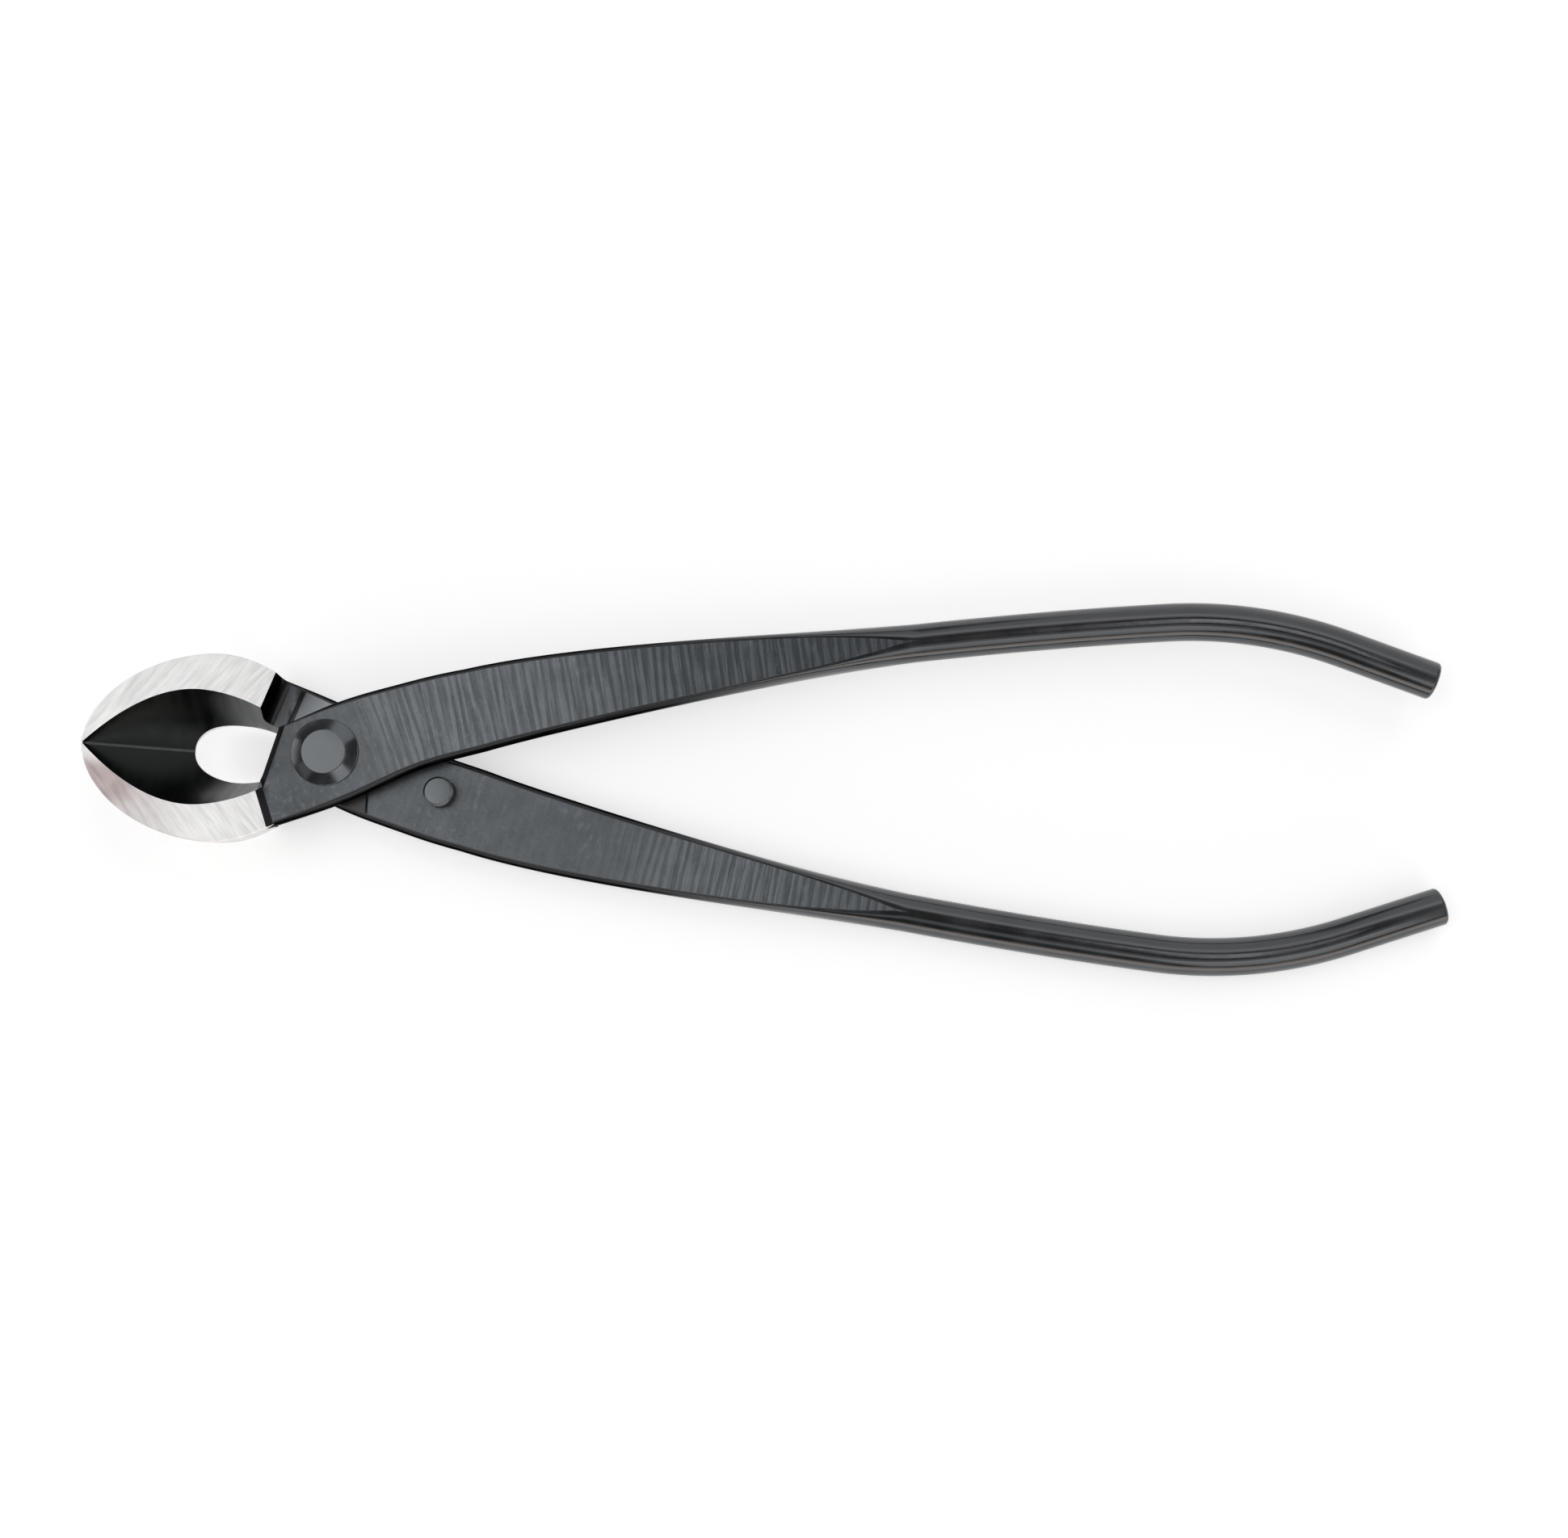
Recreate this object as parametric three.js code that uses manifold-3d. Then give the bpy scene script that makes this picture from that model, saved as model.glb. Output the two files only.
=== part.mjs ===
// Concave branch cutter, shown closed, in millimetres.
// X runs from the jaws to the handle ends and Z is the pivot axis. z = 0 is the flat face of the
// rivet's tail, level with the underside of the back handle.
// The front lever carries the lower jaw and the upper handle. In plan the back lever is its mirror
// image in Y. It lies one lever lower, and both jaws reach through the full height of the pair.

import * as THREE from 'three';
import { mergeVertices } from 'three/addons/utils/BufferGeometryUtils.js';
import Module from 'manifold-3d';

const wasm = await Module();
wasm.setup();

// Heights through the pivot, from the rivet's tail upwards.
const tailHeight = 0.9;
const leverThickness = 4.0;
const padHeight = 0.4;
const lapGap = 0.1;
const bladeStep = 0.85;
const headHeight = 1.2;
const axialPlay = 0.1;

// Pivot rivet, its bore and the stop pin.
const shankDiameter = 6.0;
const headDiameter = 10.1;
const headTopDiameter = 6.55;
const headRim = 0.2;
const tailDiameter = 8.6;
const tailChamfer = 0.5;
const boreClearance = 0.1;
const pinDiameter = 4.5;
const pinHeight = 2.8;
const pinChamfer = 0.25;
const pinClearance = 0.05;
const pinRecess = 0.3;
const pinAlongEdge = 1.8;
const stopClearance = 1.6;

// Jaw outline in plan. The blade face is widest at jawWidestX and the hollow's mouth at mouthWidestX.
const jawTipX = -36.2;
const jawWidestX = -16.5;
const jawHalfWidth = 14.15;
const jawTailLength = 16.5;
const jawRoundness = 1.85;
const jawEndX = -7.0;
const noseHalfWidth = 0.3;
const mouthWidestX = -19.7;
const mouthHalfWidth = 8.68;
const mouthTailLength = 19.2;
const mouthRoundness = 1.9;

// Throat, the hole behind the seam where the two cutting edges meet.
const throatStartX = -20.9;
const throatWidestX = -14.9;
const throatHalfWidth = 4.4;
const throatTailLength = 9.1;

// Jaw section: a wedge between the hollow above and the dome below.
const noseDepth = 0.8;
const deepestX = -14.0;
const seamCurve = 1.1;
const edgeLand = 0.25;
const edgeGap = 0.1;
const rimHeight = 0.6;
const hollowReach = 0.62;
const hollowSag = 0.22;
const domeRoundness = 2.2;
const neckSquareness = 120;
const frontWallDraft = 1.0;
const backWallDraft = 0.4;
const domeEndX = -18.0;
const neckX = -8.0;

// Neck, where the jaw ends on a line across the tang.
const neckInnerX = -9.8;
const neckInnerY = 6.37;
const neckOuterX = -7.89;
const neckOuterY = 11.61;
const neckFillet = 1.6;
const shoulderWidth = 1.0;
const grooveWidth = 3.35;
const padReach = 6.0;
const padMargin = 0.2;

// Front lever's end over the throat: a slanted line from the tang's upper corner to a point inside the jaw.
const endUpper = [-7.1, 3.65];
const endLower = [-10.0, -6.8];
const endChamfer = 0.7;

// Tang: pairs of points on the upper and lower edges of the front lever. Its sides bow out towards the shank.
const neckBulge = 0.2;
const edgeBulge = 0.6;
const tangEdges = [
  { upper: endUpper, lower: [-9.3, -12.0], bulge: neckBulge },
  { upper: [1.2, 7.8], lower: [2.4, -7.55], bulge: edgeBulge },
  { upper: [9.6, 10.7], lower: [14.0, -1.9], bulge: edgeBulge },
];

// Shank of the front lever: flat at the tang, and a round rod from where its ground flats run out.
const flatEdgeAngle = 62;
const rodDiameter = 5.8;
const runOutX = 88.0;
const shankWidths = [12.9, 11.6, 6.8, rodDiameter];
const bulgeEase = 6.5;

// Middle line of the front lever's handle: a curve, a bow of one radius and a straight end.
// handleLength and handleRise run from the shank's start to the bow's start.
const shankStart = [22.0, 7.45];
const handleLength = 104.0;
const handleRise = 17.5;
const shankLead = [18.0, 5.45];
const bowLead = [36.0, 3.35];
const bowRadius = 67.0;
const frontEndSlope = 18.1;
const frontEndLength = 14.3;
const backEndSlope = 19.8;
const backEndLength = 15.4;
const endRounding = 0.6;

// Smoothness of the faceted surfaces.
const sideSteps = 8;
const shankSteps = 56;
const bowSteps = 14;
const roundSteps = 48;
const noseSteps = 14;
const throatSteps = 16;
const curveSteps = 10;
const endSteps = 3;

const frontMaterial = { color: 0x33373a, roughness: 0.38, metalness: 0.75 };
const backMaterial = { color: 0x2e3235, roughness: 0.38, metalness: 0.75 };
const rivetMaterial = { color: 0x44494c, roughness: 0.32, metalness: 0.8 };
const pinMaterial = { color: 0x4a5053, roughness: 0.35, metalness: 0.8 };

const backUnderside = tailHeight;
const backFlat = backUnderside + leverThickness;
const backPad = backFlat + padHeight;
const frontPad = backPad + lapGap;
const frontUnderside = frontPad + padHeight;
const frontFlat = frontUnderside + leverThickness;
const bladeFace = frontFlat + bladeStep;
const jawFloor = backUnderside;
const topLimit = bladeFace + headHeight;
const lowLimit = jawFloor - headHeight;

const squareEdge = THREE.MathUtils.degToRad(flatEdgeAngle);
const shankPoint = new THREE.Vector2(...shankStart);
const bowPoint = shankPoint.clone().add(new THREE.Vector2(handleLength, handleRise));
const middleLine = new THREE.CubicBezierCurve(
  shankPoint,
  shankPoint.clone().add(new THREE.Vector2(...shankLead)),
  bowPoint.clone().sub(new THREE.Vector2(...bowLead)),
  bowPoint,
);
const widthCurve = new THREE.CubicBezierCurve(...shankWidths.map((width, k) => new THREE.Vector2(k, width)));

// Closed solids and meshes.

function solidOf(geometry) {
  geometry.deleteAttribute('normal');
  geometry.deleteAttribute('uv');
  const merged = mergeVertices(geometry);
  const points = Float32Array.from(merged.attributes.position.array);
  const triangles = [];
  const index = merged.index.array;
  for (let i = 0; i < index.length; i += 3) {
    const [a, b, c] = [index[i], index[i + 1], index[i + 2]];
    if (a !== b && b !== c && c !== a) triangles.push(a, b, c);
  }
  if (signedVolume(points, triangles) < 0) triangles.reverse();
  const triVerts = Uint32Array.from(triangles);
  return new wasm.Manifold(new wasm.Mesh({ numProp: 3, vertProperties: points, triVerts }));
}

function signedVolume(points, triangles) {
  const corner = (k) => new THREE.Vector3().fromArray(points, 3 * triangles[k]);
  let sum = 0;
  for (let i = 0; i < triangles.length; i += 3) {
    sum += corner(i).dot(corner(i + 1).cross(corner(i + 2)));
  }
  return sum / 6;
}

function namedMesh(name, solid, finish) {
  const { vertProperties, triVerts } = solid.getMesh();
  const geometry = new THREE.BufferGeometry();
  geometry.setAttribute('position', new THREE.BufferAttribute(vertProperties, 3));
  geometry.setIndex(new THREE.BufferAttribute(triVerts, 1));
  geometry.computeVertexNormals();
  const mesh = new THREE.Mesh(geometry, new THREE.MeshStandardMaterial(finish));
  mesh.name = name;
  return mesh;
}

// A solid skinned over a row of rings with equal numbers of points.
function loft(rings) {
  const count = rings[0].length;
  const positions = rings.flat().flatMap((p) => [p.x, p.y, p.z]);
  const index = [];
  for (let r = 0; r + 1 < rings.length; r += 1) {
    for (let k = 0; k < count; k += 1) {
      const a = r * count + k;
      const b = r * count + ((k + 1) % count);
      index.push(a, b, a + count, b, b + count, a + count);
    }
  }
  const last = (rings.length - 1) * count;
  for (const [a, b, c] of capTriangles(rings[0])) index.push(a, c, b);
  for (const [a, b, c] of capTriangles(rings.at(-1))) index.push(last + a, last + b, last + c);
  const geometry = new THREE.BufferGeometry();
  geometry.setAttribute('position', new THREE.Float32BufferAttribute(positions, 3));
  geometry.setIndex(index);
  return solidOf(geometry);
}

// Triangles over a flat ring, wound the way the ring runs.
function capTriangles(ring) {
  const normal = new THREE.Vector3();
  ring.forEach((p, k) => normal.add(p.clone().cross(ring[(k + 1) % ring.length])));
  normal.normalize();
  const across = ring[1].clone().sub(ring[0]).projectOnPlane(normal).normalize();
  const up = normal.clone().cross(across);
  const outline = ring.map((p) => new THREE.Vector2(p.dot(across), p.dot(up)));
  return THREE.ShapeUtils.triangulateShape(outline, []);
}

function prism(points, low, high) {
  const shape = new THREE.Shape(points.map(([x, y]) => new THREE.Vector2(x, y)));
  const geometry = new THREE.ExtrudeGeometry(shape, { depth: high - low, bevelEnabled: false });
  return solidOf(geometry.translate(0, 0, low));
}

// A solid of revolution about a vertical axis, from [radius, height] points.
function turned(profile, x = 0, y = 0) {
  const points = profile.map(([radius, height]) => new THREE.Vector2(radius, height));
  const geometry = new THREE.LatheGeometry(points, roundSteps);
  return solidOf(geometry.rotateX(Math.PI / 2).translate(x, y, 0));
}

function cylinder(radius, low, high, x = 0, y = 0) {
  return turned([[0, low], [radius, low], [radius, high], [0, high]], x, y);
}

// Shank and tang.

// Ring across a lever: flat above and below, with bowed sides that reach bulge beyond the flats.
function leverRing({ center, across, halfWidth, halfThickness, bulge, edgeAngle }, middle) {
  const side = [];
  for (let k = 0; k <= sideSteps; k += 1) {
    const angle = edgeAngle * ((2 * k) / sideSteps - 1);
    const inset = (bulge * (1 - Math.cos(angle))) / (1 - Math.cos(edgeAngle));
    const rise = (halfThickness * Math.sin(angle)) / Math.sin(edgeAngle);
    side.push([halfWidth - inset, rise]);
  }
  const far = side.map(([q, z]) => [-q, z]).reverse();
  return [...side, ...far].map(([q, z]) => {
    return new THREE.Vector3(center.x + across.x * q, center.y + across.y * q, middle + z);
  });
}

function edgePair({ upper, lower, bulge }) {
  const high = new THREE.Vector2(...upper);
  const low = new THREE.Vector2(...lower);
  return {
    center: high.clone().add(low).multiplyScalar(0.5),
    across: high.clone().sub(low).normalize(),
    halfWidth: high.distanceTo(low) / 2,
    bulge,
  };
}

// Form of the handle's section: flat with bowed sides at the tang, round from the run-out on.
function handleForm(x) {
  const { lerp, clamp, smoothstep } = THREE.MathUtils;
  const share = clamp((x - shankStart[0]) / (runOutX - shankStart[0]), 0, 1);
  const halfWidth = widthCurve.getPoint(share).y / 2;
  return {
    halfWidth,
    halfThickness: lerp(leverThickness, rodDiameter, smoothstep(share, 0, 1)) / 2,
    bulge: Math.min(halfWidth, lerp(edgeBulge, rodDiameter / 2, share ** bulgeEase)),
    edgeAngle: lerp(squareEdge, Math.PI / 2, share ** 2),
  };
}

// Sections of the front lever from the tang to the handle's end.
function leverSections(endLength, endSlope) {
  const flat = { halfThickness: leverThickness / 2, edgeAngle: squareEdge };
  const sections = tangEdges.map((pair) => ({ ...edgePair(pair), ...flat }));

  for (let k = 0; k <= shankSteps; k += 1) {
    const center = middleLine.getPoint(k / shankSteps);
    const tangent = middleLine.getTangent(k / shankSteps);
    sections.push({ center, across: new THREE.Vector2(-tangent.y, tangent.x), ...handleForm(center.x) });
  }

  const lead = middleLine.getTangent(1);
  const startAngle = Math.atan2(lead.y, lead.x);
  const endAngle = -THREE.MathUtils.degToRad(endSlope);
  const acrossAt = (angle) => new THREE.Vector2(-Math.sin(angle), Math.cos(angle));
  const bowCenter = middleLine.getPoint(1).addScaledVector(acrossAt(startAngle), -bowRadius);
  for (let k = 1; k <= bowSteps; k += 1) {
    const across = acrossAt(THREE.MathUtils.lerp(startAngle, endAngle, k / bowSteps));
    const center = bowCenter.clone().addScaledVector(across, bowRadius);
    sections.push({ center, across, ...handleForm(center.x) });
  }

  const { center: bowEnd, across } = sections.at(-1);
  const forward = new THREE.Vector2(across.y, -across.x);
  for (let k = 0; k <= endSteps; k += 1) {
    const turn = (k / endSteps) * (Math.PI / 2);
    const reach = endLength - endRounding * (1 - Math.sin(turn));
    const radius = rodDiameter / 2 - endRounding * (1 - Math.cos(turn));
    const center = bowEnd.clone().addScaledVector(forward, reach);
    const round = { halfWidth: radius, halfThickness: radius, bulge: radius, edgeAngle: Math.PI / 2 };
    sections.push({ center, across, ...round });
  }
  return sections;
}

function mirrored(section, side) {
  const { center, across } = section;
  return {
    ...section,
    center: new THREE.Vector2(center.x, side * center.y),
    across: new THREE.Vector2(across.x, side * across.y),
  };
}

function leverBar(side, underside, sections) {
  const middle = underside + leverThickness / 2;
  return loft(sections.map((section) => leverRing(mirrored(section, side), middle)));
}

// Raised pad round the pivot, between the neck's groove and the shank.
function pivotPad(side, low, high) {
  const corners = (end) => tangEdges.map(edgePair).map(({ center, across, halfWidth, bulge }) => {
    const corner = center.clone().addScaledVector(across, end * (halfWidth - bulge - padMargin));
    return [corner.x, side * corner.y];
  });
  const flat = [...corners(-1), ...corners(1).reverse()];
  const { start, along, inward } = neckLine(-side);
  const edge = start.clone().addScaledVector(inward, grooveWidth);
  const reach = jawHalfWidth * 2;
  const far = edge.clone().addScaledVector(along, reach);
  const near = edge.clone().addScaledVector(along, -reach);
  const strip = [[near.x, near.y], [padReach, near.y], [padReach, far.y], [far.x, far.y]];
  return prism(flat, low, high).intersect(prism(strip, low, high));
}

// Jaws.

// How far along its outline a point lies, from 0 at the widest place to 1 at the tip or the tail.
function outlineShare(x, widest, tip, tail) {
  const reach = x < widest ? widest - tip : tail;
  return Math.min(1, Math.abs(x - widest) / reach);
}

function bladeEdge(x) {
  const share = outlineShare(x, jawWidestX, jawTipX, jawTailLength);
  const width = jawHalfWidth * (1 - share ** jawRoundness) ** (1 / jawRoundness);
  return Math.max(noseHalfWidth, width);
}

function mouthEdge(x) {
  const share = outlineShare(x, mouthWidestX, jawTipX, mouthTailLength);
  const width = mouthHalfWidth * (1 - share ** mouthRoundness);
  return Math.max(noseHalfWidth / 2, width);
}

function throatEdge(x) {
  const share = outlineShare(x, throatWidestX, throatStartX, throatTailLength);
  return Math.max(edgeGap / 2, throatHalfWidth * Math.sqrt(1 - share * share));
}

// Height of the cutting edge: it falls from the nose to the floor of the jaws.
function edgeHeight(x) {
  const share = THREE.MathUtils.clamp((x - jawTipX) / (deepestX - jawTipX), 0, 1);
  const fall = 1 - (1 - share) ** seamCurve;
  return THREE.MathUtils.lerp(bladeFace - noseDepth, jawFloor, fall);
}

// Curve of the hollow from its mouth down to the edge. At the start of the throat it is the seam's curve,
// ended where the throat cuts it, and by the throat's widest place it has drawn down to a thin edge.
function hollowCurve(x, mouth, edge, low) {
  const belly = THREE.MathUtils.lerp(low, bladeFace, hollowSag);
  const top = new THREE.Vector2(mouth, bladeFace);
  const control = new THREE.Vector2(mouth * hollowReach, belly);
  const seam = new THREE.Vector2(edgeGap / 2, low + edgeLand);
  const bend = top.x - 2 * control.x + seam.x;
  const lean = 2 * (top.x - control.x);
  const reach = top.x - edge;
  const cut = (2 * reach) / (lean + Math.sqrt(lean * lean - 4 * bend * reach));
  const full = new THREE.QuadraticBezierCurve(top, control, seam);
  const thinning = THREE.MathUtils.smoothstep(x, throatStartX, throatWidestX);
  const thinControl = new THREE.Vector2(Math.max(edge, control.x), belly);
  const thinEnd = new THREE.Vector2(edge, low + edgeLand);
  return new THREE.QuadraticBezierCurve(
    top,
    top.clone().lerp(control, cut).lerp(thinControl, thinning),
    full.getPoint(cut).lerp(thinEnd, thinning),
  );
}

// Ring across one jaw: blade face, hollow down to the cutting edge, and the dome back up to the rim.
function jawRing(x, jawSide, draft) {
  const outer = bladeEdge(x);
  const mouth = mouthEdge(x);
  const edge = throatEdge(x);
  const low = edgeHeight(x);
  const rim = bladeFace - rimHeight;
  const squareness = THREE.MathUtils.smoothstep(x, domeEndX, neckX);
  const power = domeRoundness * (neckSquareness / domeRoundness) ** squareness;
  const points = [[outer, bladeFace]];
  for (const p of hollowCurve(x, mouth, edge, low).getPoints(curveSteps)) points.push([p.x, p.y]);
  for (let k = 0; k <= curveSteps; k += 1) {
    const turn = (k / curveSteps) * (Math.PI / 2);
    const share = Math.sin(turn);
    const lift = 1 - (1 - share ** power) ** (1 / power);
    const wall = outer - draft * squareness * (1 - lift);
    points.push([THREE.MathUtils.lerp(edge, wall, share), THREE.MathUtils.lerp(low, rim, lift)]);
  }
  return points.map(([y, z]) => new THREE.Vector3(x, jawSide * y, z));
}

// The rings lie closest at the nose and at the start of the throat, where the outlines turn.
function jawBlank(jawSide, draft) {
  const rings = [];
  for (let k = 0; k < noseSteps; k += 1) {
    rings.push(jawRing(THREE.MathUtils.lerp(jawTipX, throatStartX, (k / noseSteps) ** 2), jawSide, draft));
  }
  for (let k = 0; k <= throatSteps; k += 1) {
    rings.push(jawRing(THREE.MathUtils.lerp(throatStartX, jawEndX, (k / throatSteps) ** 2), jawSide, draft));
  }
  return loft(rings);
}

// The line across the tang on which the blade face ends, and the direction from it to the pivot.
function neckLine(jawSide) {
  const start = new THREE.Vector2(neckInnerX, jawSide * neckInnerY);
  const along = new THREE.Vector2(neckOuterX, jawSide * neckOuterY).sub(start).normalize();
  const inward = new THREE.Vector2(along.y, -along.x).multiplyScalar(jawSide);
  return { start, along, inward };
}

// A shape of [distance, height] points, swept along a line in plan. Distances run inward from the line.
function swept(shape, start, along, inward, length) {
  const geometry = new THREE.ExtrudeGeometry(shape, { depth: length, bevelEnabled: false });
  const frame = new THREE.Matrix4().makeBasis(
    new THREE.Vector3(inward.x, inward.y, 0),
    new THREE.Vector3(0, 0, 1),
    new THREE.Vector3(along.x, along.y, 0),
  );
  frame.setPosition(start.x, start.y, 0);
  return solidOf(geometry.applyMatrix4(frame));
}

// Everything on the pivot's side of the neck line.
function neckCutter(jawSide, shape) {
  const { start, along, inward } = neckLine(jawSide);
  const length = jawHalfWidth * 2;
  return swept(shape, start.clone().addScaledVector(along, -length), along, inward, 2 * length);
}

// Room for the other lever: a filleted step from the floor height to the limit height.
function lapCutter(jawSide, floor, limit) {
  const up = Math.sign(limit - floor);
  const shape = new THREE.Shape();
  shape.moveTo(0, limit);
  shape.lineTo(0, floor + up * neckFillet);
  shape.absarc(neckFillet, floor + up * neckFillet, neckFillet, Math.PI, Math.PI + (up * Math.PI) / 2, up < 0);
  shape.lineTo(jawHalfWidth, floor);
  shape.lineTo(jawHalfWidth, limit);
  return neckCutter(jawSide, shape);
}

// Sloped shoulder from the blade face down to the front lever's flat.
function shoulderCutter(jawSide) {
  const shape = new THREE.Shape();
  shape.moveTo(0, topLimit);
  shape.lineTo(0, bladeFace);
  shape.lineTo(shoulderWidth, frontFlat);
  shape.lineTo(jawHalfWidth, frontFlat);
  shape.lineTo(jawHalfWidth, topLimit);
  return neckCutter(jawSide, shape);
}

// Front lever's end over the throat, from the tang's middle out to the slanted line.
function slantedEnd() {
  const [, upperY] = endUpper;
  const [, lowerY] = endLower;
  return prism([endUpper, endLower, [0, lowerY], [0, upperY]], frontUnderside, frontFlat);
}

// Chamfer on the slanted end. It ends where the shoulder's slope crosses it.
function endChamferCutter(jawSide) {
  const end = new THREE.Vector2(...endLower).sub(new THREE.Vector2(...endUpper));
  const along = end.clone().normalize();
  const inward = new THREE.Vector2(-along.y, along.x);
  const start = new THREE.Vector2(...endUpper).addScaledVector(along, -endChamfer);
  const chamfer = new THREE.Shape();
  chamfer.moveTo(-endChamfer, topLimit);
  chamfer.lineTo(-endChamfer, frontFlat - 2 * endChamfer);
  chamfer.lineTo(endChamfer, frontFlat);
  chamfer.lineTo(endChamfer, topLimit);
  const slope = new THREE.Shape();
  slope.moveTo(0, topLimit);
  slope.lineTo(0, bladeFace);
  slope.lineTo(jawHalfWidth, bladeFace - (bladeStep * jawHalfWidth) / shoulderWidth);
  slope.lineTo(jawHalfWidth, topLimit);
  return swept(chamfer, start, along, inward, end.length()).intersect(neckCutter(jawSide, slope));
}

// Sub-parts.

const boreRadius = shankDiameter / 2 + boreClearance;
const bore = cylinder(boreRadius, lowLimit, topLimit);

// Place of the stop pin: beside the front lever's lower edge, clear of it by stopClearance.
function pinPlace() {
  const [x, y] = tangEdges.at(-1).lower;
  const shank = leverSections(frontEndLength, frontEndSlope)[tangEdges.length];
  const next = shank.center.clone().addScaledVector(shank.across, -shank.halfWidth);
  const along = next.clone().sub(new THREE.Vector2(x, y)).normalize();
  const away = new THREE.Vector2(along.y, -along.x);
  const foot = new THREE.Vector2(x, y).addScaledVector(along, pinAlongEdge);
  return foot.addScaledVector(away, stopClearance + pinDiameter / 2);
}

function frontLever() {
  const jaw = jawBlank(-1, frontWallDraft)
    .subtract(lapCutter(-1, frontUnderside, lowLimit))
    .subtract(shoulderCutter(-1));
  const bar = leverBar(1, frontUnderside, leverSections(frontEndLength, frontEndSlope));
  const pad = pivotPad(1, frontPad, frontUnderside + padHeight);
  return jaw.add(bar).add(slantedEnd()).add(pad).subtract(bore).subtract(endChamferCutter(-1));
}

function backLever(pin) {
  const jaw = jawBlank(1, backWallDraft).subtract(lapCutter(1, backFlat, topLimit));
  const bar = leverBar(-1, backUnderside, leverSections(backEndLength, backEndSlope));
  const pad = pivotPad(-1, backFlat - padHeight, backPad);
  const hole = cylinder(pinDiameter / 2 + pinClearance, lowLimit, topLimit, pin.x, pin.y);
  return jaw.add(bar).add(pad).subtract(bore).subtract(hole);
}

function pivotRivet() {
  const shank = shankDiameter / 2;
  const tail = tailDiameter / 2;
  const head = headDiameter / 2;
  const tailTop = backUnderside - axialPlay;
  const headBase = frontFlat + axialPlay;
  return turned([
    [0, 0],
    [tail - tailChamfer, 0],
    [tail, tailChamfer],
    [tail, tailTop],
    [shank, tailTop],
    [shank, headBase],
    [head, headBase],
    [head, headBase + headRim],
    [headTopDiameter / 2, headBase + headHeight],
    [0, headBase + headHeight],
  ]);
}

function stopPin(pin) {
  const radius = pinDiameter / 2;
  const top = backFlat + pinHeight;
  return turned([
    [0, backUnderside + pinRecess],
    [radius, backUnderside + pinRecess],
    [radius, top - pinChamfer],
    [radius - pinChamfer, top],
    [0, top],
  ], pin.x, pin.y);
}

const pin = pinPlace();
const cutter = new THREE.Group();
cutter.name = 'concave_cutter';
cutter.add(
  namedMesh('front_lever', frontLever(), frontMaterial),
  namedMesh('back_lever', backLever(pin), backMaterial),
  namedMesh('pivot_rivet', pivotRivet(), rivetMaterial),
  namedMesh('stop_pin', stopPin(pin), pinMaterial),
);

export default cutter;
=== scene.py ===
# Looks of the concave branch cutter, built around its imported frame.
# All lengths are in millimetres until a piece is finished, and in metres after that.

import math
from dataclasses import dataclass

import bmesh
import bpy
import numpy as np
from mathutils import Matrix, Vector


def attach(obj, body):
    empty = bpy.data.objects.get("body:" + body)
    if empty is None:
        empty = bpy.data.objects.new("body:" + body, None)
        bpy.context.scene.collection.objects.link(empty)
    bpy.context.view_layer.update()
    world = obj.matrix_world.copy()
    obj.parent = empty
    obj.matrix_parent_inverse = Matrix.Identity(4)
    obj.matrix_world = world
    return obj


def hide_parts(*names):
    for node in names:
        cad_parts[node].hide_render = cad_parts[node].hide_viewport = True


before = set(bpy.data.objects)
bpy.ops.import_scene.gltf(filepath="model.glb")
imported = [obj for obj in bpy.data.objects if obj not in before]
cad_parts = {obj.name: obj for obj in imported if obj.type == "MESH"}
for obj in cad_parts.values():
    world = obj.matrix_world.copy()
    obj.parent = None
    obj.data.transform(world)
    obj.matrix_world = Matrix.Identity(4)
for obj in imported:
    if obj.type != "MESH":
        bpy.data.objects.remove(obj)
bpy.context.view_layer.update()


# A noise pattern, drawn out by the stretch across the first axis after a turn about Z.
@dataclass
class Noise:
    scale: float
    detail: float = 3.0
    roughness: float = 0.5
    stretch: float = 1.0
    turn: float = 0.0


MM = 0.001

# Heights through the pivot, from the rivet's tail upwards.
TAIL_HEIGHT = 0.9
LEVER_THICKNESS = 4.0
PAD_HEIGHT = 0.4
LAP_GAP = 0.1
BLADE_STEP = 0.85
HEAD_HEIGHT = 1.2
AXIAL_PLAY = 0.1

BACK_UNDERSIDE = TAIL_HEIGHT
BACK_FLAT = BACK_UNDERSIDE + LEVER_THICKNESS
BACK_PAD = BACK_FLAT + PAD_HEIGHT
FRONT_PAD = BACK_PAD + LAP_GAP
FRONT_UNDERSIDE = FRONT_PAD + PAD_HEIGHT
FRONT_FLAT = FRONT_UNDERSIDE + LEVER_THICKNESS
BLADE_FACE = FRONT_FLAT + BLADE_STEP
JAW_FLOOR = BACK_UNDERSIDE
TOP_LIMIT = BLADE_FACE + HEAD_HEIGHT
LOW_LIMIT = JAW_FLOOR - HEAD_HEIGHT

# Pivot rivet, its bore and the stop pin.
SHANK_DIAMETER = 6.0
HEAD_DIAMETER = 10.1
HEAD_TOP_DIAMETER = 6.55
HEAD_RIM = 0.2
TAIL_DIAMETER = 8.6
TAIL_CHAMFER = 0.5
BORE_CLEARANCE = 0.1
PIN_DIAMETER = 4.5
PIN_HEIGHT = 2.8
PIN_CHAMFER = 0.25
PIN_CLEARANCE = 0.05
PIN_RECESS = 0.3
PIN_ALONG_EDGE = 1.8
STOP_CLEARANCE = 1.6

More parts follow.
